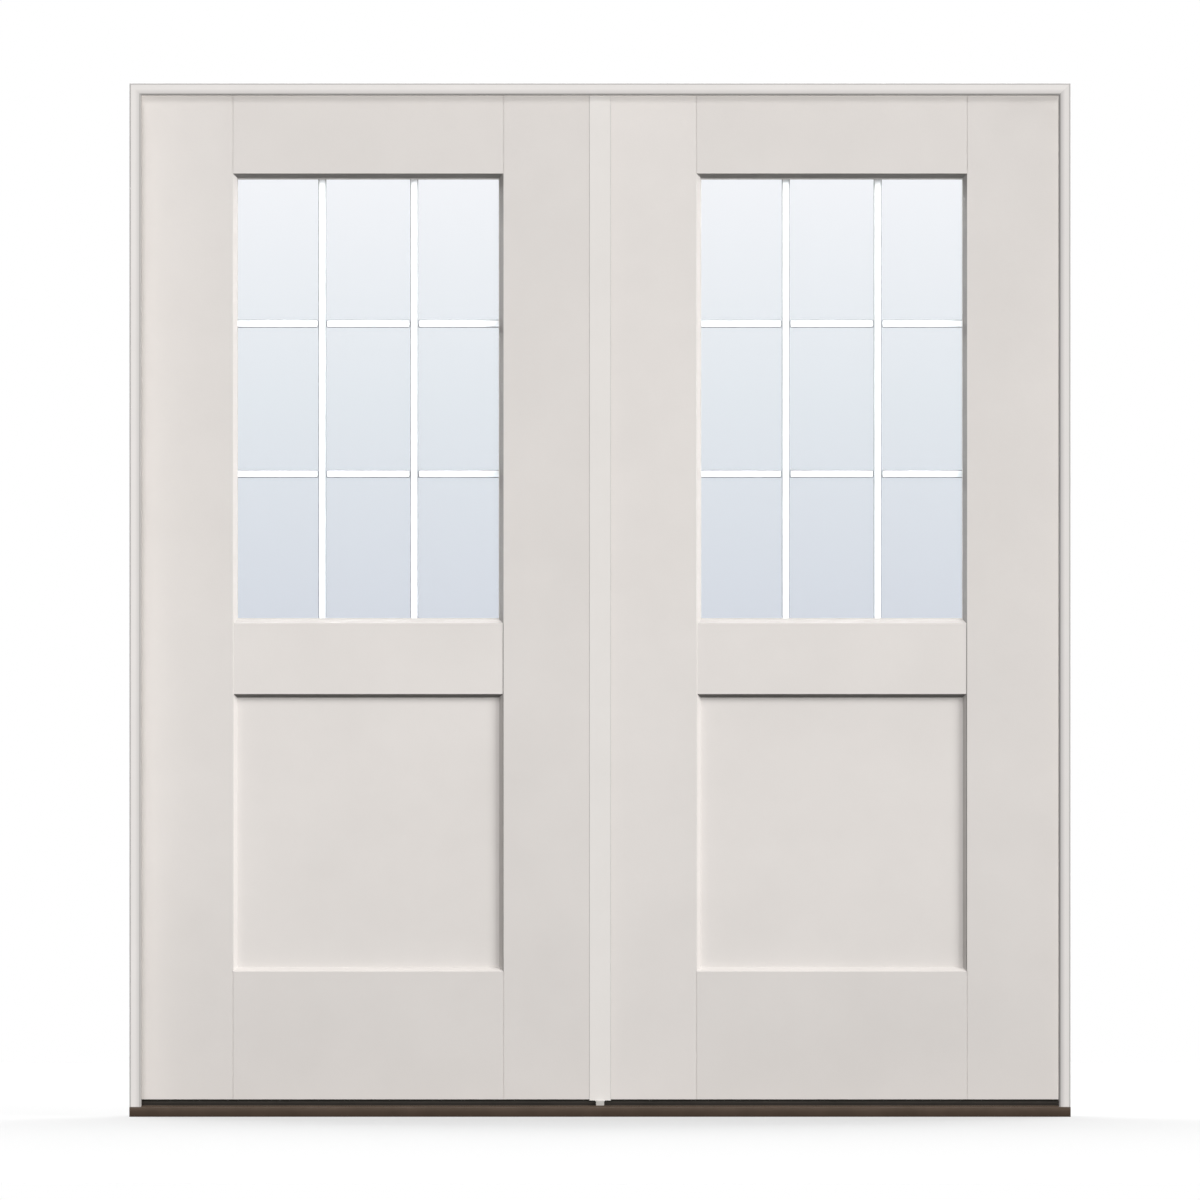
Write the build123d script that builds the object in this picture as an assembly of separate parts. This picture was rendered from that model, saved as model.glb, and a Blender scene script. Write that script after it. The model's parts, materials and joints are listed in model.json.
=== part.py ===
from build123d import *
import os

# French doors in their frame, closed, in millimetres.
# X is the width with +X to the right seen from outside, +Y points into the room and +Z is up.
# The origin is the middle of the sill's underside. Each leaf is 35-3/4 in by 79 in, and 1-3/4 in thick.

INCH = 25.4

# Unit, and where its layers lie from the outside to the room
UNIT_WIDTH = 74 * INCH
UNIT_HEIGHT = 81.25 * INCH
JAMB_DEPTH = 115.9
ROOM_FACE = 64.9
STREET_FACE = ROOM_FACE - JAMB_DEPTH
STOP_BACK = 12.5

# Frame profile
JAMB_LEG = 0.75 * INCH
STOP_HEIGHT = 4.0
STOP_ROUND = 2.0
ARRIS = 1.5
SEAL_ROUND = 1.9
KERF_WIDTH = 2.8
KERF_DEPTH = 9.0
FIXING_HOLE_RADIUS = 2.6
FIXING_HOLE_Y = -19.0
FIXING_SPACING = 560.0
FIXING_COUNT = 4
FIXING_MIDDLE_Z = 1032.0

# Leaves
LEAF_WIDTH = 35.75 * INCH
LEAF_HEIGHT = 2008.2
LEAF_THICKNESS = 1.75 * INCH
EDGE_GAP = 0.125 * INCH
LEAF_FRONT = ROOM_FACE - LEAF_THICKNESS
LEAF_MIDDLE_Y = ROOM_FACE - LEAF_THICKNESS / 2
LEAF_TOP = UNIT_HEIGHT - JAMB_LEG - EDGE_GAP
LEAF_BOTTOM = LEAF_TOP - LEAF_HEIGHT
LEAF_CENTRE_X = UNIT_WIDTH / 2 - JAMB_LEG - EDGE_GAP - LEAF_WIDTH / 2
SKIN = 2.0
STILE_BLOCK = 60.0

# Openings in a leaf's skin: one width for the glass and for the panel under it
OPENING_WIDTH = 541.3
GLASS_LOW, GLASS_HIGH = 984.0, 1884.9
PANEL_LOW, PANEL_HIGH = 288.8, 845.3
BEVEL = 8.5
PANEL_DEPTH = 12.7
GLASS_BEVEL_DEPTH = 8.7
RIM_DEPTH = 11.2
RIM_WALL = 6.0
LOCK_RAIL_SETBACK = 1.5
GROOVE_WIDTH = 1.5
GROOVE_DEPTH = 0.5

# Glass unit
GLASS_MIDDLE_Z = (GLASS_LOW + GLASS_HIGH) / 2
UNIT_GLASS_WIDTH = 22 * INCH
UNIT_GLASS_HEIGHT = 36 * INCH
UNIT_GLASS_THICKNESS = 0.75 * INCH
PANE = 3.2
TAPE = 1.5
TAPE_INSET = 2.0
TAPE_LIP = 1.3
POCKET_GAP = 1.6
SPACER_WIDTH = 7.0
SPACER_INSET = 3.0
BAR_WIDTH = 16.0
BAR_THICKNESS = 5.0
BAR_OFFSET_X = 91.9
BAR_OFFSET_Z = 150.3

# Sill
NOSE_Y = -77.9
NOSE_HEIGHT = 18.3
NOSE_ROUND = 5.0
DECK_HEIGHT = 21.2
DECK_WALL = 2.0
CAP_FRONT = 14.0
CAP_TOP = 29.0
CAP_ROUND = 2.5
CAP_END_GAP = 0.2
CAP_SCREW_COUNT = 6
CAP_SCREW_SPACING = 290.0
CAP_SCREW_Y = 50.0
CAP_SCREW_LENGTH = 21.0
PAD_HALF_WIDTH = 8.3
PAD_BACK, PAD_FRONT, PAD_TOP = 12.2, 2.0, 30.7
CORNER_PAD = (2.6, 40.0, 50.0)

# Seals
SEAL_CLEARANCE = 0.3
SWEEP_BASE = 1.5
SWEEP_FINS_Y = (23.0, 32.0, 41.0, 50.0, 60.0)
FIN = 1.6
SWEEP_LOW = 29.4

# Hinges, three to a leaf
HINGE_HEIGHT = 4 * INCH
HINGE_PLATE = 2.5
HINGE_CORNER = 0.625 * INCH
HINGE_PLATE_FRONT = 27.0
KNUCKLE_RADIUS = 6.35
KNUCKLE_COUNT = 5
KNUCKLE_GAP = 0.1
BORE_RADIUS = 3.175
PIN_RADIUS = 3.12
PIN_HEAD_RADIUS = 5.4
PIN_HEAD_HEIGHT = 3.0
PIN_TIP = 1.5
AXIS_X = UNIT_WIDTH / 2 - JAMB_LEG - EDGE_GAP / 2
AXIS_Y = ROOM_FACE + KNUCKLE_RADIUS + SEAL_CLEARANCE
WRAP_Y = AXIS_Y - 4.0
TOP_HINGE_Z = LEAF_TOP - 7 * INCH - HINGE_HEIGHT / 2
BOTTOM_HINGE_Z = LEAF_BOTTOM + 11 * INCH + HINGE_HEIGHT / 2
HINGE_PLACES = {
    "top": TOP_HINGE_Z,
    "middle": (TOP_HINGE_Z + BOTTOM_HINGE_Z) / 2,
    "bottom": BOTTOM_HINGE_Z,
}
SCREW_PLACES = ((54.0, 38.0), (40.0, 14.0), (40.0, -14.0), (54.0, -38.0))
SCREW_HEAD_RADIUS = 4.2
SCREW_HEAD_HEIGHT = 2.2
SCREW_SHANK_RADIUS = 2.1
JAMB_SCREW_LENGTH = 15.0
LEAF_SCREW_LENGTH = 28.0
CORNER_SCREW_LENGTH = 60.0

# Astragal, which belongs to the left leaf, and its two flush bolts
FLANGE_HALF_WIDTH = 21.5
FLANGE_FRONT = 8.5
FLANGE_LOW = 31.2
FLANGE_HIGH = 2040.2
CORE_LEFT = -(LEAF_CENTRE_X - LEAF_WIDTH / 2)
CORE_RIGHT_FRONT = 4.8
CORE_RIGHT_BACK = 6.35
CORE_LOW = 29.8
CORE_HIGH = LEAF_TOP
BOLT_X = -1.9
BOLT_Y = 38.0
BOLT_RADIUS = 4.5
BOLT_BORE_RADIUS = 4.6
BOLT_LENGTH = 180.0
BOLT_TRAVEL = 16.0
BOLT_RECESS = 0.6
TAB_LENGTH = 14.0
TAB_WIDTH = 3.0
TAB_END_X = 5.0
TAB_FROM_TIP = 140.0
SLOT_CLEARANCE = 0.3
STRIKE_SIZE = (28.0, 26.0, 2.0)
STRIKE_HOLE_RADIUS = 5.4
SOCKET_SPARE = 5.0


def block(x_range, y_range, z_range):
    """A plain box between two planes in each direction."""
    size = [high - low for low, high in (x_range, y_range, z_range)]
    middle = [(low + high) / 2 for low, high in (x_range, y_range, z_range)]
    return Pos(*middle) * Box(*size)


def centred_block(half_width, y_range, z_range):
    """A box that reaches as far to the left of the middle as to the right."""
    return block((-half_width, half_width), y_range, z_range)


def rounded_outline(points, rounds):
    """A flat outline, with a radius at each of the corners named in rounds."""
    outline = Polygon(*points, align=None)
    for (x, y), radius in rounds:
        corner = min(outline.vertices(), key=lambda v: (v.X - x) ** 2 + (v.Y - y) ** 2)
        outline = fillet(corner, radius)
    return outline


def run_along_width(outline, length):
    """An outline in Y and Z, run along X and centred."""
    return extrude(Plane.YZ * outline, amount=length / 2, both=True)


def run_upwards(outline, low, high):
    """An outline in X and Y, run from one height to another."""
    return extrude(Pos(0, 0, low) * outline, amount=high - low)


def to_other_side(shape):
    """The same shape on the other side of the unit's middle."""
    return mirror(shape, about=Plane.YZ)


def to_room_side(shape):
    """The same shape on the room side of a leaf."""
    return mirror(shape, about=Plane(origin=(0, LEAF_MIDDLE_Y, 0), z_dir=(0, 1, 0)))


def recess(width, low, high, face_y, depth, bevel):
    """The space of a recess with sloping sides, full size at its mouth."""
    sections = []
    for y, shrink in ((face_y, 0), (face_y + depth, 2 * bevel)):
        plane = Plane(origin=(0, y, (low + high) / 2), x_dir=(1, 0, 0), z_dir=(0, 1, 0))
        sections.append(plane * Rectangle(width - shrink, high - low - shrink))
    return loft(sections, ruled=True)


def countersunk_screw(length):
    """A screw with its flat head at the origin, facing +Z."""
    top = (Align.CENTER, Align.CENTER, Align.MAX)
    head = Cone(SCREW_SHANK_RADIUS, SCREW_HEAD_RADIUS, SCREW_HEAD_HEIGHT, align=top)
    return head + Cylinder(SCREW_SHANK_RADIUS, length, align=top)


# Sill


def deck_outline(wall):
    """The bronze deck's outline from its nose to the cap, drawn in by a wall."""
    nose = (NOSE_Y + wall, NOSE_HEIGHT - wall)
    points = [(NOSE_Y + wall, 0), nose, (CAP_FRONT, DECK_HEIGHT - wall), (CAP_FRONT, 0)]
    return rounded_outline(points, [(nose, NOSE_ROUND - wall)])


def sill_deck():
    """Folded deck with a rounded nose that drops to the floor in front."""
    outside = run_along_width(deck_outline(0), UNIT_WIDTH)
    return outside - run_along_width(deck_outline(DECK_WALL), UNIT_WIDTH)


def sill_block():
    """Composite body of the sill, before holes."""
    front = run_along_width(deck_outline(DECK_WALL), UNIT_WIDTH)
    back = centred_block(UNIT_WIDTH / 2, (CAP_FRONT, ROOM_FACE), (0, DECK_HEIGHT - DECK_WALL))
    return front + back


def sill_solid():
    """The whole sill without its cap, which the jambs stand on."""
    return sill_block() + sill_deck()


def cap_screws():
    """Screws that set the cap's height, heads up."""
    first = -CAP_SCREW_SPACING * (CAP_SCREW_COUNT - 1) / 2
    spots = [first + CAP_SCREW_SPACING * i for i in range(CAP_SCREW_COUNT)]
    screw = countersunk_screw(CAP_SCREW_LENGTH)
    return [Pos(x, CAP_SCREW_Y, CAP_TOP) * screw for x in spots]


def bolt_socket():
    """The hole that takes the lower flush bolt."""
    up = (Align.CENTER, Align.CENTER, Align.MIN)
    floor = CORE_LOW + BOLT_RECESS - BOLT_TRAVEL - SOCKET_SPARE
    return Pos(BOLT_X, BOLT_Y, floor) * Cylinder(STRIKE_HOLE_RADIUS, CAP_TOP, align=up)


def sill_core():
    """Composite body under the deck and the cap."""
    body = sill_block() - bolt_socket()
    for screw in cap_screws():
        body -= screw
    return body


def sill_cap():
    """Raised dark cap that the sweeps close on."""
    front, back = (CAP_FRONT, CAP_TOP), (ROOM_FACE, CAP_TOP)
    low = DECK_HEIGHT - DECK_WALL
    outline = rounded_outline(
        [(CAP_FRONT, low), front, back, (ROOM_FACE, low)], [(front, CAP_ROUND), (back, CAP_ROUND)]
    )
    inner_width = UNIT_WIDTH - 2 * (JAMB_LEG + CAP_END_GAP)
    cap = run_along_width(outline, inner_width) - bolt_socket()
    for screw in cap_screws():
        cap -= screw
    return cap


def sill_center_pad():
    """Small grey pad on the deck under the astragal."""
    pad = centred_block(PAD_HALF_WIDTH, (PAD_FRONT, PAD_BACK), (NOSE_HEIGHT, PAD_TOP))
    return pad - sill_solid()


def corner_pads():
    """Foam pads between each leaf's foot and the jamb."""
    thick, deep, tall = CORNER_PAD
    outer = UNIT_WIDTH / 2 - JAMB_LEG
    pad = block((-outer, -outer + thick), (ROOM_FACE - deep, ROOM_FACE), (CAP_TOP, CAP_TOP + tall))
    return [pad, to_other_side(pad)]


# Jambs and head


def mitre_cut(keep_head):
    """Everything on one side of the 45 degree mitre at the upper left corner."""
    reach = 4 * JAMB_LEG
    left, top = -UNIT_WIDTH / 2, UNIT_HEIGHT
    line = [(left - reach, top + reach), (left + reach, top - reach)]
    far = (left - reach, top - reach) if keep_head else (left + reach, top + reach)
    return extrude(Plane.XZ * Polygon(*line, far, align=None), amount=2 * JAMB_DEPTH, both=True)


def jamb_outline():
    """Plan of the left jamb: leg, integral stop with a rounded edge, and the seal's kerf."""
    outer = -UNIT_WIDTH / 2
    stop, rabbet = outer + JAMB_LEG + STOP_HEIGHT, outer + JAMB_LEG
    points = [
        (outer, STREET_FACE),
        (stop, STREET_FACE),
        (stop, STOP_BACK),
        (rabbet - KERF_DEPTH, STOP_BACK),
        (rabbet - KERF_DEPTH, STOP_BACK + KERF_WIDTH),
        (rabbet, STOP_BACK + KERF_WIDTH),
        (rabbet, ROOM_FACE),
        (outer, ROOM_FACE),
    ]
    return rounded_outline(points, [(points[0], ARRIS), (points[1], STOP_ROUND), (points[6], ARRIS)])


def fixing_holes():
    """Holes through the left jamb for the screws that hold the unit in a wall."""
    first = FIXING_MIDDLE_Z - FIXING_SPACING * (FIXING_COUNT - 1) / 2
    heights = [first + FIXING_SPACING * i for i in range(FIXING_COUNT)]
    hole = Rot(0, 90, 0) * Cylinder(FIXING_HOLE_RADIUS, 4 * JAMB_LEG)
    return [Pos(-UNIT_WIDTH / 2, FIXING_HOLE_Y, height) * hole for height in heights]


def corner_screws_left():
    """Screws through the left jamb into the head and the sill."""
    screw = Rot(0, -90, 0) * countersunk_screw(CORNER_SCREW_LENGTH)
    high, low = UNIT_HEIGHT - JAMB_LEG / 3, DECK_HEIGHT / 2
    return [Pos(-UNIT_WIDTH / 2, y, z) * screw for z in (low, high) for y in (-30.0, 40.0)]


def jamb_left():
    """Left jamb, mitred at the head and scribed over the sill."""
    body = run_upwards(jamb_outline(), 0, UNIT_HEIGHT) - mitre_cut(keep_head=False) - sill_solid()
    for cut in fixing_holes():
        body -= cut
    for height in HINGE_PLACES.values():
        body -= hinge_plate(height, on_jamb=True)
        for screw in hinge_screws_at(height, on_jamb=True):
            body -= screw
    return body


def head_jamb():
    """Head, mitred to both jambs, with the upper strike let in."""
    low_stop = UNIT_HEIGHT - JAMB_LEG - STOP_HEIGHT
    rabbet = UNIT_HEIGHT - JAMB_LEG
    points = [
        (STREET_FACE, UNIT_HEIGHT),
        (STREET_FACE, low_stop),
        (STOP_BACK, low_stop),
        (STOP_BACK, rabbet + KERF_DEPTH),
        (STOP_BACK + KERF_WIDTH, rabbet + KERF_DEPTH),
        (STOP_BACK + KERF_WIDTH, rabbet),
        (ROOM_FACE, rabbet),
        (ROOM_FACE, UNIT_HEIGHT),
    ]
    outline = rounded_outline(points, [(points[0], ARRIS), (points[1], STOP_ROUND), (points[6], ARRIS)])
    corner = mitre_cut(keep_head=True)
    body = run_along_width(outline, UNIT_WIDTH) - corner - to_other_side(corner) - strike_plate()
    for screw in corner_screws_left():
        body = body - screw - to_other_side(screw)
    socket = Cylinder(STRIKE_HOLE_RADIUS, BOLT_TRAVEL, align=(Align.CENTER, Align.CENTER, Align.MIN))
    return body - Pos(BOLT_X, BOLT_Y, rabbet) * socket


def strike_plate():
    """Plate let into the head, before its hole."""
    width, depth, thickness = STRIKE_SIZE
    rabbet = UNIT_HEIGHT - JAMB_LEG
    plate = Pos(BOLT_X, BOLT_Y, rabbet + thickness / 2) * Box(width, depth, thickness)
    return fillet(plate.edges().filter_by(Axis.Z), 4)


def head_strike():
    """Strike plate with the hole for the upper flush bolt."""
    return strike_plate() - Pos(BOLT_X, BOLT_Y, UNIT_HEIGHT) * Cylinder(STRIKE_HOLE_RADIUS, 2 * JAMB_LEG + 20)


# Weatherstrip


def side_weatherstrip():
    """Left seal: a barb in the kerf and a bulb between the stop and the leaf."""
    rabbet = -UNIT_WIDTH / 2 + JAMB_LEG
    top = UNIT_HEIGHT - JAMB_LEG
    bulb_back = LEAF_FRONT - SEAL_CLEARANCE
    bulb = block((rabbet, rabbet + STOP_HEIGHT), (STOP_BACK, bulb_back), (CAP_TOP, top - STOP_HEIGHT))
    bulb = fillet(bulb.edges().filter_by(Axis.Z).sort_by(Axis.Y)[-2:], SEAL_ROUND)
    barb_x = (rabbet - KERF_DEPTH + 0.5, rabbet)
    barb_y = (STOP_BACK + 0.2, STOP_BACK + KERF_WIDTH - 0.2)
    return bulb + block(barb_x, barb_y, (CAP_TOP, top - STOP_HEIGHT))


def head_weatherstrip():
    """Seal across the head."""
    rabbet = UNIT_HEIGHT - JAMB_LEG
    half = UNIT_WIDTH / 2 - JAMB_LEG
    bulb_back = LEAF_FRONT - SEAL_CLEARANCE
    bulb = centred_block(half, (STOP_BACK, bulb_back), (rabbet - STOP_HEIGHT, rabbet))
    bulb = fillet(bulb.edges().filter_by(Axis.X).sort_by(Axis.Y)[-2:], SEAL_ROUND)
    barb_y = (STOP_BACK + 0.2, STOP_BACK + KERF_WIDTH - 0.2)
    return bulb + centred_block(half - 1, barb_y, (rabbet, rabbet + KERF_DEPTH - 0.5))


# Hinges, drawn for the left leaf


def hinge_plate(height, on_jamb):
    """One flap of a hinge, as it lies in its mortise."""
    face = -UNIT_WIDTH / 2 + JAMB_LEG + (0 if on_jamb else EDGE_GAP)
    x_range = (face - HINGE_PLATE, face) if on_jamb else (face, face + HINGE_PLATE)
    half = HINGE_HEIGHT / 2
    flap = block(x_range, (HINGE_PLATE_FRONT, ROOM_FACE), (height - half, height + half))
    return fillet(flap.edges().filter_by(Axis.X).sort_by(Axis.Y)[:2], HINGE_CORNER)


def hinge_screws_at(height, on_jamb):
    """The four screws of one flap."""
    face = -UNIT_WIDTH / 2 + JAMB_LEG + (0 if on_jamb else EDGE_GAP)
    turn = Rot(0, 90, 0) if on_jamb else Rot(0, -90, 0)
    screw = turn * countersunk_screw(JAMB_SCREW_LENGTH if on_jamb else LEAF_SCREW_LENGTH)
    return [Pos(face, y, height + z) * screw for y, z in SCREW_PLACES]


def hinge_flap(height, on_jamb):
    """A flap with its knuckles, bored for the pin."""
    body = hinge_plate(height, on_jamb)
    face = -UNIT_WIDTH / 2 + JAMB_LEG + (0 if on_jamb else EDGE_GAP)
    x_range = (face - HINGE_PLATE, face) if on_jamb else (face, face + HINGE_PLATE)
    pitch = HINGE_HEIGHT / KNUCKLE_COUNT
    for i in range(0 if on_jamb else 1, KNUCKLE_COUNT, 2):
        middle = height - HINGE_HEIGHT / 2 + pitch * (i + 0.5)
        half = (pitch - KNUCKLE_GAP) / 2
        body += Pos(-AXIS_X, AXIS_Y, middle) * Cylinder(KNUCKLE_RADIUS, 2 * half)
        body += block(x_range, (ROOM_FACE, WRAP_Y), (middle - half, middle + half))
    body -= Pos(-AXIS_X, AXIS_Y, height) * Cylinder(BORE_RADIUS, 2 * HINGE_HEIGHT)
    for screw in hinge_screws_at(height, on_jamb):
        body -= screw
    return body


def hinge_pin(height):
    """Removable pin with a domed button head."""
    low = height - HINGE_HEIGHT / 2
    up = (Align.CENTER, Align.CENTER, Align.MIN)
    shaft = Pos(-AXIS_X, AXIS_Y, low - PIN_TIP) * Cylinder(PIN_RADIUS, HINGE_HEIGHT + PIN_TIP, align=up)
    head = Cylinder(PIN_HEAD_RADIUS, PIN_HEAD_HEIGHT, align=up)
    head = fillet(head.edges().sort_by(Axis.Z)[-1], PIN_HEAD_HEIGHT / 2)
    return shaft + Pos(-AXIS_X, AXIS_Y, low + HINGE_HEIGHT) * head


# One leaf, drawn about its own middle


def skin_backs():
    """What the formed skin pushes out behind its flat sheet: panel, lock rail and glass rim."""
    back = LEAF_FRONT + SKIN
    panel = recess(OPENING_WIDTH + 2 * SKIN, PANEL_LOW - SKIN, PANEL_HIGH + SKIN, back, PANEL_DEPTH, BEVEL)
    half_rail = OPENING_WIDTH / 2 + SKIN
    rail = centred_block(half_rail, (back, back + LOCK_RAIL_SETBACK), (PANEL_HIGH, GLASS_LOW))
    half_rim = OPENING_WIDTH / 2 + RIM_WALL
    rim = centred_block(
        half_rim, (back, LEAF_FRONT + RIM_DEPTH), (GLASS_LOW - RIM_WALL, GLASS_HIGH + RIM_WALL)
    )
    return panel + rail + rim


def skin_grooves():
    """Fine joint lines where the top and bottom rails meet the stiles."""
    cuts = []
    for x in (-OPENING_WIDTH / 2, OPENING_WIDTH / 2):
        for z_range in ((LEAF_BOTTOM - 1, PANEL_LOW), (GLASS_HIGH, LEAF_TOP + 1)):
            x_range = (x - GROOVE_WIDTH / 2, x + GROOVE_WIDTH / 2)
            cuts.append(block(x_range, (LEAF_FRONT - 1, LEAF_FRONT + GROOVE_DEPTH), z_range))
    return cuts


def skin():
    """Outside skin: flat stiles and rails, a recessed panel, a set-back lock rail and a glass rim."""
    half = LEAF_WIDTH / 2
    body = centred_block(half, (LEAF_FRONT, LEAF_FRONT + SKIN), (LEAF_BOTTOM, LEAF_TOP)) + skin_backs()
    sight_half = OPENING_WIDTH / 2 - BEVEL
    overlap = 2 * BEVEL
    rail_low, rail_high = PANEL_HIGH - overlap, GLASS_LOW + overlap
    cuts = [
        recess(OPENING_WIDTH, PANEL_LOW, PANEL_HIGH, LEAF_FRONT, PANEL_DEPTH, BEVEL),
        recess(OPENING_WIDTH, GLASS_LOW, GLASS_HIGH, LEAF_FRONT, GLASS_BEVEL_DEPTH, BEVEL),
        recess(OPENING_WIDTH, rail_low, rail_high, LEAF_FRONT, LOCK_RAIL_SETBACK, LOCK_RAIL_SETBACK),
        centred_block(
            sight_half, (LEAF_FRONT, LEAF_FRONT + RIM_DEPTH + 1), (GLASS_LOW + BEVEL, GLASS_HIGH - BEVEL)
        ),
    ]
    for cut in cuts + skin_grooves():
        body -= cut
    return body


def glass_pocket():
    """The space through the core that the glass unit fills, with its tapes."""
    half = UNIT_GLASS_WIDTH / 2 + POCKET_GAP
    half_height = UNIT_GLASS_HEIGHT / 2 + POCKET_GAP
    y_range = (LEAF_FRONT + RIM_DEPTH, ROOM_FACE - RIM_DEPTH)
    return centred_block(half, y_range, (GLASS_MIDDLE_Z - half_height, GLASS_MIDDLE_Z + half_height))


def foam_core():
    """Foam between the skins, stiles and rails, open round the glass unit."""
    half = LEAF_WIDTH / 2 - STILE_BLOCK
    z_range = (LEAF_BOTTOM + STILE_BLOCK, LEAF_TOP - STILE_BLOCK)
    body = centred_block(half, (LEAF_FRONT + SKIN, ROOM_FACE - SKIN), z_range)
    backs = skin_backs()
    return body - backs - to_room_side(backs) - glass_pocket()


def stile(hinge_side):
    """Wood edge member of the leaf, full height. The hinge side is drawn on the left."""
    half = LEAF_WIDTH / 2
    x_range = (-half, -half + STILE_BLOCK) if hinge_side else (half - STILE_BLOCK, half)
    body = block(x_range, (LEAF_FRONT + SKIN, ROOM_FACE - SKIN), (LEAF_BOTTOM, LEAF_TOP))
    for seat in leaf_hinge_seats() if hinge_side else []:
        body -= seat
    return body


def room_skin(front):
    """Inside skin: the outside one turned over, notched for the hinge flaps."""
    body = to_room_side(front)
    for seat in leaf_hinge_seats():
        body -= seat
    return body


def leaf_hinge_seats():
    """Mortises and screw holes of the left leaf, moved to the leaf's own middle."""
    seats = []
    for height in HINGE_PLACES.values():
        seats += [hinge_plate(height, on_jamb=False)] + hinge_screws_at(height, on_jamb=False)
    return [Pos(LEAF_CENTRE_X, 0, 0) * seat for seat in seats]


def rail(low):
    """Edge member across the leaf's head or foot."""
    half = LEAF_WIDTH / 2 - STILE_BLOCK
    return centred_block(half, (LEAF_FRONT + SKIN, ROOM_FACE - SKIN), (low, low + STILE_BLOCK))


def pane(y_low):
    """One sheet of glass."""
    half_height = UNIT_GLASS_HEIGHT / 2
    z_range = (GLASS_MIDDLE_Z - half_height, GLASS_MIDDLE_Z + half_height)
    return centred_block(UNIT_GLASS_WIDTH / 2, (y_low, y_low + PANE), z_range)


def ring(inset, width, y_range):
    """A flat frame that follows the glass unit's edge."""
    frames = []
    for step in (inset, inset + width):
        half, half_height = UNIT_GLASS_WIDTH / 2 - step, UNIT_GLASS_HEIGHT / 2 - step
        z_range = (GLASS_MIDDLE_Z - half_height, GLASS_MIDDLE_Z + half_height)
        frames.append(centred_block(half, y_range, z_range))
    return frames[0] - frames[1]


def grille():
    """Flat bars between the panes: two uprights and two crossbars."""
    y_range = (LEAF_MIDDLE_Y - BAR_THICKNESS / 2, LEAF_MIDDLE_Y + BAR_THICKNESS / 2)
    reach_x = UNIT_GLASS_WIDTH / 2 - SPACER_INSET - SPACER_WIDTH
    reach_z = UNIT_GLASS_HEIGHT / 2 - SPACER_INSET - SPACER_WIDTH
    half = BAR_WIDTH / 2
    bars = block((-reach_x, reach_x), y_range, (BAR_OFFSET_Z - half, BAR_OFFSET_Z + half))
    bars += block((-reach_x, reach_x), y_range, (-BAR_OFFSET_Z - half, -BAR_OFFSET_Z + half))
    for x in (-BAR_OFFSET_X, BAR_OFFSET_X):
        bars += block((x - half, x + half), y_range, (-reach_z, reach_z))
    return Pos(0, 0, GLASS_MIDDLE_Z) * bars


def glazing_tape():
    """Tape on both faces of the glass unit, under the rims and a little way inside them."""
    front = LEAF_FRONT + RIM_DEPTH
    width = RIM_WALL + BEVEL - TAPE_INSET + TAPE_LIP
    inset = UNIT_GLASS_WIDTH / 2 - OPENING_WIDTH / 2 - RIM_WALL + TAPE_INSET
    outer = ring(inset, width, (front, front + TAPE))
    return [outer, to_room_side(outer)]


def sweep():
    """Rubber sweep under the leaf: a base and a row of fins."""
    half = LEAF_WIDTH / 2
    base = centred_block(half, (LEAF_FRONT + 1, ROOM_FACE - 1), (LEAF_BOTTOM - SWEEP_BASE, LEAF_BOTTOM))
    for y in SWEEP_FINS_Y:
        base += centred_block(half, (y - FIN / 2, y + FIN / 2), (SWEEP_LOW, LEAF_BOTTOM - SWEEP_BASE))
    return base


def leaf_parts():
    """Every piece of a leaf but its hinges, about the leaf's own middle."""
    front = skin()
    outer_glass = LEAF_FRONT + RIM_DEPTH + TAPE
    inner_glass = outer_glass + UNIT_GLASS_THICKNESS - PANE
    return {
        "exterior_skin": front,
        "interior_skin": room_skin(front),
        "hinge_stile": stile(hinge_side=True),
        "lock_stile": stile(hinge_side=False),
        "top_rail": rail(LEAF_TOP - STILE_BLOCK),
        "bottom_rail": rail(LEAF_BOTTOM),
        "foam_core": foam_core(),
        "outer_pane": pane(outer_glass),
        "inner_pane": pane(inner_glass),
        "spacer": ring(SPACER_INSET, SPACER_WIDTH, (outer_glass + PANE, inner_glass)),
        "grille": grille(),
        "glazing_tape": Compound(glazing_tape()),
        "sweep": sweep(),
    }


# Astragal and flush bolts


def bolt_bore(tip_z, upwards):
    """The bolt's bore and its thumb slot, inside the astragal."""
    way = 1 if upwards else -1
    room = BOLT_TRAVEL + 2
    ends = sorted((tip_z + way, tip_z - way * (BOLT_LENGTH + room)))
    middle = sum(ends) / 2
    bore = Pos(BOLT_X, BOLT_Y, middle) * Cylinder(BOLT_BORE_RADIUS, ends[1] - ends[0])
    tab_low = tip_z - way * TAB_FROM_TIP - TAB_LENGTH / 2
    slot_low = tab_low - SLOT_CLEARANCE - (0 if upwards else BOLT_TRAVEL)
    slot_high = slot_low + TAB_LENGTH + BOLT_TRAVEL + 2 * SLOT_CLEARANCE
    half = TAB_WIDTH / 2 + SLOT_CLEARANCE
    slot = block((BOLT_X, FLANGE_HALF_WIDTH), (BOLT_Y - half, BOLT_Y + half), (slot_low, slot_high))
    return bore + slot


def flush_bolt(tip_z, upwards):
    """Round bolt with a thumb tab on its side, drawn back."""
    way = 1 if upwards else -1
    rod = Pos(BOLT_X, BOLT_Y, tip_z - way * BOLT_LENGTH / 2) * Cylinder(BOLT_RADIUS, BOLT_LENGTH)
    tip = rod.edges().sort_by(Axis.Z)[-1 if upwards else 0]
    rod = chamfer(tip, 1.5)
    tab_low = tip_z - way * TAB_FROM_TIP - TAB_LENGTH / 2
    half = TAB_WIDTH / 2
    return rod + block((BOLT_X, TAB_END_X), (BOLT_Y - half, BOLT_Y + half), (tab_low, tab_low + TAB_LENGTH))


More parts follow.
